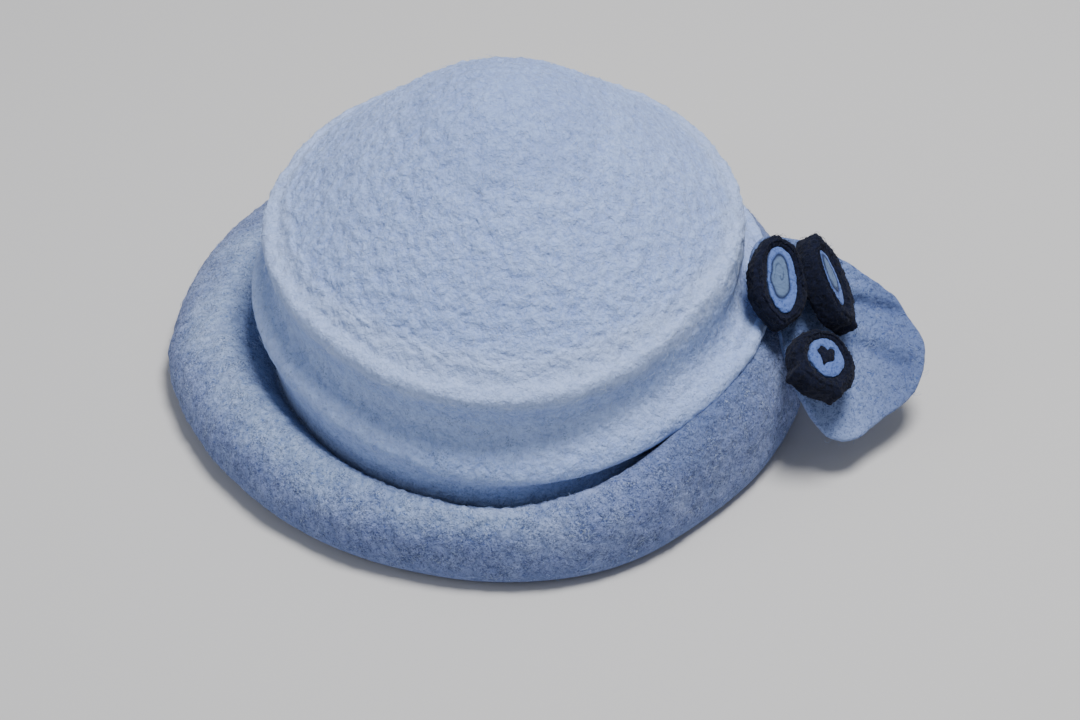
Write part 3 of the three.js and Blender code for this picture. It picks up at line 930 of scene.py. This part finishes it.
wraps, cores, hearts = [], [], []
degrees = np.linspace(-180, 180, SLICE_COLUMNS, endpoint=False)
for row in SLICES:
    matrix, seed = slice_frame(row), row["seed"]
    outside = oval_outline(row["half"], row["tall"], degrees, seed, 0.06)
    for angle, out, spread in TUFTS[row["name"]]:
        away = (degrees - angle + 180) % 360 - 180
        outside *= 1 + out / row["half"] * bell(away, spread)[:, None]
    seam = oval_outline(*row["core"], degrees, seed + 5, 0.11) + np.array(row["core_at"])
    wrap, _ = slab(row["name"] + "_wrap_felt", matrix, outside, seam, edge=2.0, swell=0.6, rows=22)
    soften(wrap, 0.42, seed + 7)
    wraps.append(wrap)
    has_heart = row["name"] == "round_slice"
    heart_line = None
    if has_heart:
        heart_line = heart_outline(HEART_HALF, HEART_NOTCH, degrees)
        uneven = noise_at(np.column_stack([heart_line, heart_line[:, 0] * 0]), 2.6, seed + 13)
        heart_line *= 1 + 0.3 * uneven[:, None]
        heart_line += HEART_AT
    core_edge = seam - SEAM_GAP * seam / np.linalg.norm(seam, axis=1)[:, None]
    core, local = slab(
        row["name"] + "_core_felt", matrix, core_edge, heart_line, edge=0.45, swell=0.35, rows=44
    )
    line, middle = core_marks(local - [*row["core_at"], 0], *row["core"], seed)
    if has_heart:
        line, middle = line * 0, middle * 0
    places, normals = points_of(core)
    move_points(core, places - normals * (0.22 * line)[:, None])
    soften(core, 0.16, seed + 9)
    add_value(core, "line", line)
    add_value(core, "middle", middle)
    cores.append(core)
    if has_heart:
        heart_frame = matrix @ Matrix.Translation((*HEART_AT, 0))
        heart_edge = (heart_line - HEART_AT) * 0.97
        heart, _ = slab("heart_felt", heart_frame, heart_edge, edge=0.5, swell=0.4, rows=18)
        soften(heart, 0.3, seed + 11)
        hearts.append(heart)
print("slices:", {piece.name: triangles(piece) for piece in wraps + cores + hearts})

# %% [markdown]
# ## Small helpers for node trees
#
# Node trees are easier to read as text when one call adds a node, fills its sockets and links it.
# Colours are given as in a paint program, 0 to 255, and turned into the linear values that Blender
# calculates with.

# %% Node helpers
def put(tree, kind, inputs=None, **settings):
    """Add a node; each input is a value or another node's output socket."""
    made = tree.nodes.new(kind)
    for key, value in settings.items():
        setattr(made, key, value)
    for key, value in (inputs or {}).items():
        if isinstance(value, bpy.types.NodeSocket):
            tree.links.new(value, made.inputs[key])
        else:
            made.inputs[key].default_value = value
    return made


def color(red, green, blue):
    def linear(channel):
        c = channel / 255
        return c / 12.92 if c <= 0.04045 else ((c + 0.055) / 1.055) ** 2.4

    return (linear(red), linear(green), linear(blue), 1.0)


def new_group(name, kind, sockets_in, sockets_out):
    """A node group with its sockets; returns the tree, its input node and its output node."""
    tree = bpy.data.node_groups.new(name, kind)
    for label, socket, value in sockets_in:
        made = tree.interface.new_socket(label, in_out="INPUT", socket_type=socket)
        if value is not None:
            made.default_value = value
    for label, socket in sockets_out:
        tree.interface.new_socket(label, in_out="OUTPUT", socket_type=socket)
    return tree, tree.nodes.new("NodeGroupInput"), tree.nodes.new("NodeGroupOutput")


def math_node(tree, operation, first, second=0.5):
    return put(tree, "ShaderNodeMath", {0: first, 1: second}, operation=operation).outputs[0]


def times(tree, first, second):
    return math_node(tree, "MULTIPLY", first, second)


def vector_node(tree, operation, first, second):
    inputs = {0: first, "Scale" if operation == "SCALE" else 1: second}
    return put(tree, "ShaderNodeVectorMath", inputs, operation=operation).outputs[0]


def noise_node(tree, vector, scale, output="Fac", **inputs):
    """Smooth noise in space; the scale counts swells in a metre, roughly."""
    made = put(tree, "ShaderNodeTexNoise", {"Vector": vector, "Scale": scale, **inputs})
    return made.outputs[output]


def part_of(tree, vector, axis):
    return put(tree, "ShaderNodeSeparateXYZ", {"Vector": vector}).outputs[axis]


def ramp(tree, value, low, high, to_low=0.0, to_high=1.0):
    """A soft step: to_low below the low value, to_high above the high one."""
    return put(
        tree,
        "ShaderNodeMapRange",
        {"Value": value, "From Min": low, "From Max": high, "To Min": to_low, "To Max": to_high},
        interpolation_type="SMOOTHSTEP",
    ).outputs["Result"]


def blend(tree, factor, first, second):
    mixed = put(tree, "ShaderNodeMix", {0: factor}, data_type="RGBA")
    for socket, value in ((mixed.inputs[6], first), (mixed.inputs[7], second)):
        if isinstance(value, bpy.types.NodeSocket):
            tree.links.new(value, socket)
        else:
            socket.default_value = value
    return mixed.outputs[2]


print("a pale blue, linear:", [round(c, 3) for c in color(170, 184, 210)])

# %% [markdown]
# ## Wool grain, shared by every felt
#
# Felt's surface is a mat of fine fibres lying every way. Noise that is stretched along one axis
# makes streaks; bending it first and laying three directions over each other makes a mat. The group
# gives a height for the bump and a tone that varies the colour a little, and each material decides
# how much of each it takes.

# %% Shader group: wool grain
FIBRE_STRETCHES = [(1.0, 0.16, 0.4), (0.16, 1.0, 0.4), (0.45, 0.45, 1.0)]
BEND_SIZE = 0.006


def make_wool_grain():
    tree, start, end = new_group(
        "wool_grain",
        "ShaderNodeTree",
        [("Vector", "NodeSocketVector", None), ("Fibre Scale", "NodeSocketFloat", 900.0)],
        [("Height", "NodeSocketFloat"), ("Tone", "NodeSocketFloat")],
    )
    vector = start.outputs["Vector"]
    bend = noise_node(tree, vector, 230.0, output="Color", Detail=2.0)
    centred = vector_node(tree, "SUBTRACT", bend, (0.5, 0.5, 0.5))
    bent = vector_node(tree, "ADD", vector, vector_node(tree, "SCALE", centred, BEND_SIZE))
    height = None
    for stretch in FIBRE_STRETCHES:
        along = vector_node(tree, "MULTIPLY", bent, stretch)
        streaks = noise_node(tree, along, start.outputs["Fibre Scale"], Detail=3.0, Roughness=0.6)
        folded = math_node(tree, "ABSOLUTE", math_node(tree, "SUBTRACT", streaks, 0.5))
        strand = ramp(tree, folded, 0.0, 0.09, 1.0, 0.0)
        height = strand if height is None else math_node(tree, "MAXIMUM", height, strand)
    patches = noise_node(tree, bent, 700.0, Detail=5.0, Roughness=0.7)
    tone = math_node(tree, "ADD", times(tree, height, 0.35), patches)
    tree.links.new(height, end.inputs["Height"])
    tree.links.new(math_node(tree, "SUBTRACT", tone, 0.12), end.inputs["Tone"])
    return tree


wool_grain = make_wool_grain()
print("group:", wool_grain.name, [s.name for s in wool_grain.interface.items_tree])

# %% [markdown]
# ## Orange peel
#
# The mesh carries the pebbles that are wider than about two millimetres. Finer ones would need
# millions of faces, so they are a bump: a detailed noise gives soft clumps of wool, and where a
# second one crosses its middle, in some patches, there are short creases between them, which the
# felts paint darker as shade.

# %% Shader group: orange peel
def make_orange_peel():
    tree, start, end = new_group(
        "orange_peel",
        "ShaderNodeTree",
        [("Vector", "NodeSocketVector", None), ("Clump Scale", "NodeSocketFloat", 330.0)],
        [("Height", "NodeSocketFloat"), ("Crease Shade", "NodeSocketFloat")],
    )
    vector = start.outputs["Vector"]
    clump_scale = start.outputs["Clump Scale"]
    clumps = noise_node(tree, vector, clump_scale, Detail=3.0, Roughness=0.55)
    folds = noise_node(tree, vector, times(tree, clump_scale, 0.6), Detail=3.0)
    depth = math_node(tree, "ABSOLUTE", math_node(tree, "SUBTRACT", folds, 0.5))
    patches = noise_node(tree, vector, 170.0, Detail=2.0)
    height = math_node(tree, "ADD", clumps, times(tree, ramp(tree, depth, 0.0, 0.13), 0.14))
    # Crease Shade marks the creases, where the felts paint a darker colour as painted shade.
    crease = times(tree, ramp(tree, depth, 0.0, 0.03, 1.0, 0.0), ramp(tree, patches, 0.5, 0.62))
    tree.links.new(height, end.inputs["Height"])
    tree.links.new(crease, end.inputs["Crease Shade"])
    return tree


orange_peel = make_orange_peel()
print("group:", orange_peel.name)

# %% [markdown]
# ## Dyed flecks
#
# The brim was felted from two dyed wools that never mix fully: light blue over navy. Small islands
# of navy show through, in clusters. One noise places the clusters, a finer bent one makes the
# islands, and their sum is cut off at a threshold that Amount moves.

# %% Shader group: navy flecks
def make_flecks():
    tree, start, end = new_group(
        "dyed_flecks",
        "ShaderNodeTree",
        [
            ("Vector", "NodeSocketVector", None),
            ("Amount", "NodeSocketFloat", 0.5),
            ("Fleck Scale", "NodeSocketFloat", 900.0),
        ],
        [("Mask", "NodeSocketFloat")],
    )
    vector = start.outputs["Vector"]
    clusters = noise_node(tree, vector, 190.0, Detail=2.0)
    islands = noise_node(
        tree, vector, start.outputs["Fleck Scale"], Detail=2.5, Roughness=0.6, Distortion=0.7
    )
    both = math_node(tree, "ADD", times(tree, clusters, 0.5), islands)
    reach = times(tree, start.outputs["Amount"], 0.24)
    over = math_node(tree, "ADD", math_node(tree, "SUBTRACT", both, 0.97), reach)
    tree.links.new(ramp(tree, over, -0.03, 0.13), end.inputs["Mask"])
    return tree


dyed_flecks = make_flecks()
print("group:", dyed_flecks.name)

# %% [markdown]
# ## The felts
#
# Every felt is the same dull, slightly hairy wool: very rough, with a faint sheen from the loose
# fibres. What differs is the dye, with light and shade painted into it. The crown is nearly one pale
# blue, with painted shade in its creases, between its pebbles, at its tip and in the side band at the
# right, and painted highlights along lip and ridge; it turns into the brim's mottled blue below the
# ridge. The brim's upper part at the left takes its light crest wool, with painted light over it; it
# is flecked with navy on its outer face, and painted shade darkens it between its pebbles, behind the
# crest and under the ridge. A dye is a function that starts from one colour and blends the next over
# it, layer by layer; heights are in millimetres above the floor.

# %% Felt materials
def placed_group(tree, group, vector, **values):
    """Place a shader group; values are its inputs, with _ for a space."""
    made = put(tree, "ShaderNodeGroup", node_tree=group)
    tree.links.new(vector, made.inputs["Vector"])
    for name, value in values.items():
        socket = made.inputs[name.replace("_", " ")]
        if isinstance(value, bpy.types.NodeSocket):
            tree.links.new(value, socket)
        else:
            socket.default_value = value
    return made.outputs


def felt_material(name, dye, peel_mm, grain_mm, clump_scale=330.0, sheen=0.12):
    """A wool felt; dye(tree, vector, tone, crease) returns the socket that colours it;
    crease marks where the dye paints creases darker, as shade.

    peel_mm and grain_mm are the heights of the clumps and of the fibres in the bump.
    """
    material = bpy.data.materials.new(name)
    material.use_nodes = True
    tree = material.node_tree
    shader = tree.nodes["Principled BSDF"]
    vector = tree.nodes.new("ShaderNodeTexCoord").outputs["Object"]
    grain = placed_group(tree, wool_grain, vector)
    peel = placed_group(tree, orange_peel, vector, Clump_Scale=clump_scale)
    tree.links.new(dye(tree, vector, grain["Tone"], peel["Crease Shade"]), shader.inputs["Base Color"])
    relief = math_node(
        tree, "ADD", times(tree, peel["Height"], peel_mm), times(tree, grain["Height"], grain_mm)
    )
    bump = put(tree, "ShaderNodeBump", {"Height": relief, "Distance": MM, "Strength": 1.0})
    tree.links.new(bump.outputs["Normal"], shader.inputs["Normal"])
    tree.links.new(ramp(tree, grain["Tone"], 0.3, 0.8, 0.98, 0.88), shader.inputs["Roughness"])
    shader.inputs["Sheen Weight"].default_value = sheen
    shader.inputs["Sheen Roughness"].default_value = 0.5
    shader.inputs["Specular IOR Level"].default_value = 0.2
    return material


def mark(tree, name):
    """A number that was stored at the piece's points."""
    made = put(tree, "ShaderNodeAttribute", attribute_name=name, attribute_type="GEOMETRY")
    return made.outputs["Fac"]


def rise_mm(tree, vector, sway_scale, sway_mm):
    """The height above the floor in millimetres, made uneven so that no dye ends in a line."""
    rise = times(tree, part_of(tree, vector, "Z"), 1000.0)
    sway = noise_node(tree, vector, sway_scale, Detail=2.0)
    centred = math_node(tree, "SUBTRACT", sway, 0.5)
    return math_node(tree, "ADD", rise, times(tree, centred, sway_mm))


def flecks(tree, vector, amount, scale):
    return placed_group(tree, dyed_flecks, vector, Amount=amount, Fleck_Scale=scale)["Mask"]


def mottled_dye(tree, vector, tone, crease):
    """Blue wool over navy, flecked most on the outer face, with painted light and shade."""
    rise = rise_mm(tree, vector, 42.0, 12.0)
    base = blend(tree, ramp(tree, tone, 0.3, 0.74), color(88, 106, 164), color(142, 158, 208))
    # Partly the light wool of the crest and partly painted light: the upper part at the left takes the
    # lighter crest colour.
    crest = blend(tree, ramp(tree, tone, 0.28, 0.72), color(110, 136, 188), color(164, 186, 224))
    lit_left_side = math_node(tree, "SUBTRACT", 1.0, ramp(tree, part_of(tree, vector, "X"), -0.03, 0.04))
    light = times(tree, ramp(tree, rise, 18.0, 32.0), lit_left_side)
    base = blend(tree, light, base, crest)
    clouds = noise_node(tree, vector, 85.0, Detail=3.0)
    base = blend(tree, ramp(tree, clouds, 0.48, 0.68, 0.0, 0.34), base, color(164, 180, 220))
    base = blend(tree, ramp(tree, clouds, 0.36, 0.5, 0.2, 0.0), base, color(72, 88, 140))
    low = blend(tree, tone, color(92, 112, 168), color(124, 142, 194))
    base = blend(tree, ramp(tree, rise, 3.0, 14.0), low, base)
    # Painted shade: darker between the pebbles, in the creases, on the slope behind the crest and on
    # the face under the ridge at the right.
    shade_between_pebbles = ramp(tree, mark(tree, "pebble"), 0.1, 0.6, 0.3, 0.0)
    base = blend(tree, shade_between_pebbles, base, color(80, 102, 152))
    base = blend(tree, times(tree, crease, 0.3), base, color(66, 86, 136))
    base = blend(tree, times(tree, mark(tree, "shade_behind_crest"), 0.6), base, color(122, 142, 180))
    base = blend(tree, times(tree, mark(tree, "under_ridge"), 0.5), base, color(80, 100, 144))
    most = ramp(tree, rise, 2.0, 10.0, 0.45, 0.9)
    # Fewer navy flecks on the upper part at the left, under the painted light.
    amount = math_node(tree, "SUBTRACT", most, times(tree, light, 0.35))
    navy = flecks(tree, vector, amount, 1500.0)
    base = blend(tree, times(tree, navy, 0.62), base, color(46, 62, 106))
    light_tufts = flecks(tree, vector, 0.36, 1400.0)
    return blend(tree, times(tree, light_tufts, 0.55), base, color(192, 208, 238))


# Painted highlights along the ridge and the lip, and painted shade at the tip, each by height.
PAINTED_BAND_FADE = 5.0
PAINTED_LIGHT_AND_SHADE_BANDS = table(
    "place low high share tint",
    ("ridge", 48.0, 56.0, 0.34, (184, 206, 252)),
    ("lip", 70.0, 79.0, 0.42, (192, 212, 250)),
    ("tip", 122.0, 150.0, 0.3, (126, 148, 200)),
)


def pale_dye(tree, vector, tone, crease):
    """Pale powder blue with painted light and shade; below the ridge it turns into the mottled dye."""
    # Painted light and shade: the pebbles' tops lighter, the hollows between them darker.
    tops = ramp(tree, mark(tree, "pebble"), 0.1, 1.0)
    base = blend(tree, tops, color(142, 168, 230), color(160, 187, 245))
    dull = blend(tree, 0.12, base, color(108, 124, 166))
    base = blend(tree, ramp(tree, tone, 0.3, 0.75), dull, base)
    base = blend(tree, ramp(tree, tone, 0.5, 0.8, 0.0, 0.35), base, color(190, 210, 248))
    # Painted shade: the creases darker.
    base = blend(tree, times(tree, crease, 0.18), base, color(104, 118, 156))
    rise = rise_mm(tree, vector, 60.0, 8.0)
    for row in PAINTED_LIGHT_AND_SHADE_BANDS:
        low, high = row["low"], row["high"]
        above = ramp(tree, rise, low - PAINTED_BAND_FADE, low, 0.0, row["share"])
        below = ramp(tree, rise, high, high + PAINTED_BAND_FADE, 1.0, 0.0)
        base = blend(tree, times(tree, above, below), base, color(*row["tint"]))
    specks = flecks(tree, vector, 0.5, 1500.0)
    side = times(tree, specks, ramp(tree, rise, 66.0, 76.0, 0.45, 0.03))
    base = blend(tree, side, base, color(74, 92, 138))
    # Painted shade: the side band between ridge and lip darker at the right.
    right_band_shade = times(tree, ramp(tree, rise, 51.0, 58.0), ramp(tree, rise, 64.0, 76.0, 1.0, 0.0))
    shade_at_right = ramp(tree, part_of(tree, vector, "X"), 0.02, 0.065, 0.0, 0.42)
    base = blend(tree, times(tree, right_band_shade, shade_at_right), base, color(96, 120, 174))
    mottled = blend(tree, ramp(tree, tone, 0.34, 0.7), color(112, 132, 172), color(150, 170, 208))
    mottled = blend(tree, times(tree, specks, 0.5), mottled, color(50, 68, 112))
    return blend(tree, ramp(tree, rise, 18.0, 40.0), mottled, base)


def leaf_dye(tree, vector, tone, crease):
    """Blue with larger spots than the brim's; painted shade higher up and in the far corner."""
    # Painted shade: darker higher up.
    high = ramp(tree, rise_mm(tree, vector, 50.0, 14.0), 22.0, 48.0)
    deep = blend(tree, high, color(88, 110, 164), color(74, 94, 146))
    light = blend(tree, high, color(138, 158, 206), color(118, 140, 192))
    base = blend(tree, ramp(tree, tone, 0.34, 0.7), deep, light)
    # Painted shade: the far corner darker.
    far = ramp(tree, part_of(tree, vector, "X"), 0.112, 0.135, 0.0, 0.5)
    base = blend(tree, far, base, color(72, 90, 144))
    # Painted shade: darker in the small creases and along the pleats.
    base = blend(tree, times(tree, crease, 0.45), base, color(76, 94, 146))
    base = blend(tree, times(tree, mark(tree, "crease"), 0.6), base, color(62, 80, 130))
    spots = flecks(tree, vector, 0.55, 650.0)
    base = blend(tree, times(tree, spots, 0.45), base, color(64, 78, 132))
    tufts = flecks(tree, vector, 0.4, 480.0)
    return blend(tree, times(tree, tufts, 0.3), base, color(160, 176, 222))


def navy_dye(tree, vector, tone, crease):
    return blend(tree, ramp(tree, tone, 0.4, 0.75), color(6, 9, 24), color(14, 20, 44))


def periwinkle_dye(tree, vector, tone, crease):
    """Periwinkle blue, greyer in the core's middle, with its rolled layers' navy line."""
    base = blend(tree, ramp(tree, tone, 0.36, 0.7), color(66, 90, 154), color(96, 122, 188))
    base = blend(tree, mark(tree, "middle"), base, color(98, 120, 156))
    return blend(tree, mark(tree, "line"), base, color(34, 46, 80))


pale_felt = felt_material("pale_felt_wool", pale_dye, 1.7, 0.13, 270.0)
mottled_felt = felt_material("mottled_felt_wool", mottled_dye, 1.5, 0.16, 360.0)
leaf_wool = felt_material("leaf_felt_wool", leaf_dye, 0.8, 0.14, 380.0)
navy_wool = felt_material("navy_felt_wool", navy_dye, 0.6, 0.15, 500.0, sheen=0.05)
periwinkle_wool = felt_material("periwinkle_felt_wool", periwinkle_dye, 0.35, 0.1, 600.0)
felts = [(crown, pale_felt), (brim, mottled_felt), (leaf, leaf_wool)]
felts += [(piece, navy_wool) for piece in wraps + hearts]
felts += [(piece, periwinkle_wool) for piece in cores]
for piece, material in felts:
    piece.data.materials.append(material)
print("felts:", [material.name for material in bpy.data.materials if "felt" in material.name])

# %% [markdown]
# ## Loose fibres
#
# However well it is felted, wool lets some fibres go, and the fuzz they make is what tells felt from
# painted clay, most of all on cut edges. Thousands of curved hairs are a job for Geometry Nodes:
# points are scattered over the felt, three bent hairs are made once, and each point gets one of
# them, turned at random but lying along the surface. The stored value fuzz says where they grow.

# %% Geometry Nodes: fibres on a felt
HAIR_BENDS = [
    ((0.5, 0.32, 0.16), (1.0, 0.08, 0.04)),
    ((0.35, -0.5, 0.1), (0.85, 0.2, 0.12)),
    ((0.7, 0.75, 0.14), (0.05, 0.8, 0.02)),
]
SHORTEST, LONGEST = 0.45, 1.25


def make_fibre_tree():
    tree, start, end = new_group(
        "wool_fibres",
        "GeometryNodeTree",
        [
            ("Geometry", "NodeSocketGeometry", None),
            ("Density", "NodeSocketFloat", 20000.0),
            ("Length", "NodeSocketFloat", 0.005),
            ("Thickness", "NodeSocketFloat", 0.00006),
            ("Seed", "NodeSocketInt", 1),
            ("Wool", "NodeSocketMaterial", None),
        ],
        [("Geometry", "NodeSocketGeometry")],
    )
    fuzz = put(tree, "GeometryNodeInputNamedAttribute", {"Name": "fuzz"}, data_type="FLOAT")
    geometry, seed = start.outputs["Geometry"], start.outputs["Seed"]
    density = times(tree, start.outputs["Density"], fuzz.outputs["Attribute"])
    spread = put(
        tree,
        "GeometryNodeDistributePointsOnFaces",
        {"Mesh": geometry, "Density": density, "Seed": seed},
        distribute_method="RANDOM",
    )
    thickness = start.outputs["Thickness"]
    circle = {"Resolution": 3, "Radius": thickness}
    round_hair = put(tree, "GeometryNodeCurvePrimitiveCircle", circle)
    hairs = tree.nodes.new("GeometryNodeJoinGeometry")
    for middle, tip_of_hair in HAIR_BENDS:
        length = start.outputs["Length"]
        bend = vector_node(tree, "SCALE", middle, length)
        end_of_hair = vector_node(tree, "SCALE", tip_of_hair, length)
        line = put(
            tree,
            "GeometryNodeCurveQuadraticBezier",
            {"Resolution": 4, "Start": (0.0, 0.0, 0.0), "Middle": bend, "End": end_of_hair},
        )
        hair = put(
            tree,
            "GeometryNodeCurveToMesh",
            {"Curve": line.outputs[0], "Profile Curve": round_hair.outputs[0]},
        )
        single = put(tree, "GeometryNodeGeometryToInstance", {"Geometry": hair.outputs[0]})
        tree.links.new(single.outputs[0], hairs.inputs[0])
    turn = put(
        tree, "FunctionNodeRandomValue", {"Min": 0.0, "Max": 6.283, "Seed": seed}, data_type="FLOAT"
    )
    about = put(tree, "FunctionNodeAxisAngleToRotation", {"Axis": (0.0, 0.0, 1.0)})
    size = put(tree, "FunctionNodeRandomValue", {"Seed": 7}, data_type="FLOAT")
    for label, value in (("Min", SHORTEST), ("Max", LONGEST)):
        live = (s for s in size.inputs if s.name == label and s.type == "VALUE" and s.enabled)
        next(live).default_value = value
    tree.links.new(next(s for s in turn.outputs if s.enabled), about.inputs["Angle"])
    turned = put(
        tree,
        "FunctionNodeRotateRotation",
        {"Rotation": spread.outputs["Rotation"], "Rotate By": about.outputs["Rotation"]},
        rotation_space="LOCAL",
    )
    planted = put(
        tree,
        "GeometryNodeInstanceOnPoints",
        {"Points": spread.outputs["Points"], "Instance": hairs.outputs[0], "Pick Instance": True,
         "Rotation": turned.outputs[0]},
    )
    tree.links.new(next(s for s in size.outputs if s.enabled), planted.inputs["Scale"])
    plain = put(tree, "GeometryNodeRealizeInstances", {"Geometry": planted.outputs[0]})
    wool = start.outputs["Wool"]
    dyed = put(tree, "GeometryNodeSetMaterial", {"Geometry": plain.outputs[0], "Material": wool})
    tree.links.new(dyed.outputs[0], end.inputs["Geometry"])
    return tree


fibre_tree = make_fibre_tree()


def grow_fibres(name, felt_piece, material, per_cm2, length_mm, thick_mm, seed):
    """A plain mesh of loose fibres that grow on a felt piece."""
    host = bpy.data.objects.new(name + "_host", felt_piece.data.copy())
    bpy.context.scene.collection.objects.link(host)
    modifier = host.modifiers.new("fibres", "NODES")
    modifier.node_group = fibre_tree
    values = {
        "Density": per_cm2 * 1e4,
        "Length": length_mm * MM,
        "Thickness": thick_mm / 2 * MM,
        "Seed": seed,
        "Wool": material,
    }
    for socket in fibre_tree.interface.items_tree:
        if socket.in_out == "INPUT" and socket.name in values:
            modifier[socket.identifier] = values[socket.name]
    ready = host.evaluated_get(bpy.context.evaluated_depsgraph_get())
    mesh = bpy.data.meshes.new_from_object(ready)
    mesh.name = name
    mesh.polygons.foreach_set("use_smooth", [True] * len(mesh.polygons))
    bpy.data.objects.remove(host)
    piece = bpy.data.objects.new(name, mesh)
    bpy.context.scene.collection.objects.link(piece)
    return piece


# %% [markdown]
# Each felt says where its fuzz grows. The crown's and the brim's lies on what can be seen from
# outside; on the leaf and the slices it lies all over, and of these the leaf and the navy wraps grow
# fibres, the wraps most densely.

# %% Plant the fibres
HAIR_GRAIN = 0.03
BRIM_FUZZ_FROM = 96.0


def hair_material(name, deep, light):
    def plain_dye(tree, vector, tone, crease):
        return blend(tree, ramp(tree, tone, 0.35, 0.7), color(*deep), color(*light))

    return felt_material(name, plain_dye, 0.0, HAIR_GRAIN)


pale_hair = hair_material("pale_loose_fibre", (176, 194, 226), (198, 213, 238))
blue_hair = hair_material("blue_loose_fibre", (116, 138, 186), (160, 180, 218))
navy_hair = hair_material("navy_loose_fibre", (12, 17, 34), (26, 35, 62))

places, _ = points_of(crown)
add_value(crown, "fuzz", is_outer * smoothstep(places[:, 2], 40.0, 50.0))
places, _ = points_of(brim)
clear_of_crown = np.hypot(places[:, 0], places[:, 1]) > BRIM_FUZZ_FROM
add_value(brim, "fuzz", smoothstep(places[:, 2], 4.0, 10.0) * clear_of_crown)
for piece in [leaf] + wraps + cores + hearts:
    add_value(piece, "fuzz", np.ones(len(piece.data.vertices)))
fibres = [
    (grow_fibres("crown_fibres", crown, pale_hair, 3.2, 5.0, 0.09, 101), "pale_felt"),
    (grow_fibres("brim_fibres", brim, blue_hair, 7.0, 3.6, 0.09, 102), "mottled_felt"),
    (grow_fibres("leaf_fibres", leaf, blue_hair, 8.0, 4.0, 0.09, 103), "leaf_felt"),
]
for piece, seed in zip(wraps, (104, 105, 106)):
    fuzz = grow_fibres(piece.name + "_fibres", piece, navy_hair, 45.0, 3.2, 0.08, seed)
    fibres.append((fuzz, "navy_felt"))
print("fibres:", {piece.name: triangles(piece) for piece, _ in fibres})

# %% [markdown]
# ## Hand the pieces over
#
# Each dressed piece takes the place of its CAD node, which is hidden. Everything rides on the hat's
# one rigid body.

# %% Ride and replace
dressed = [
    (crown, "crown", "pale_felt"),
    (brim, "brim", "mottled_felt"),
    (leaf, "leaf", "leaf_felt"),
    (hearts[0], "round_slice_heart", "navy_felt"),
]
for row, wrap, core in zip(SLICES, wraps, cores):
    dressed.append((wrap, row["name"] + "_wrap", "navy_felt"))
    dressed.append((core, row["name"] + "_core", "periwinkle_felt"))
for piece, node, slot_name in dressed:
    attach(piece, "root")
    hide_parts(node)
for piece, slot_name in fibres:
    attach(piece, "root")
total = sum(triangles(row[0]) for row in dressed + fibres)
print("pieces:", len(dressed) + len(fibres), "triangles:", total)
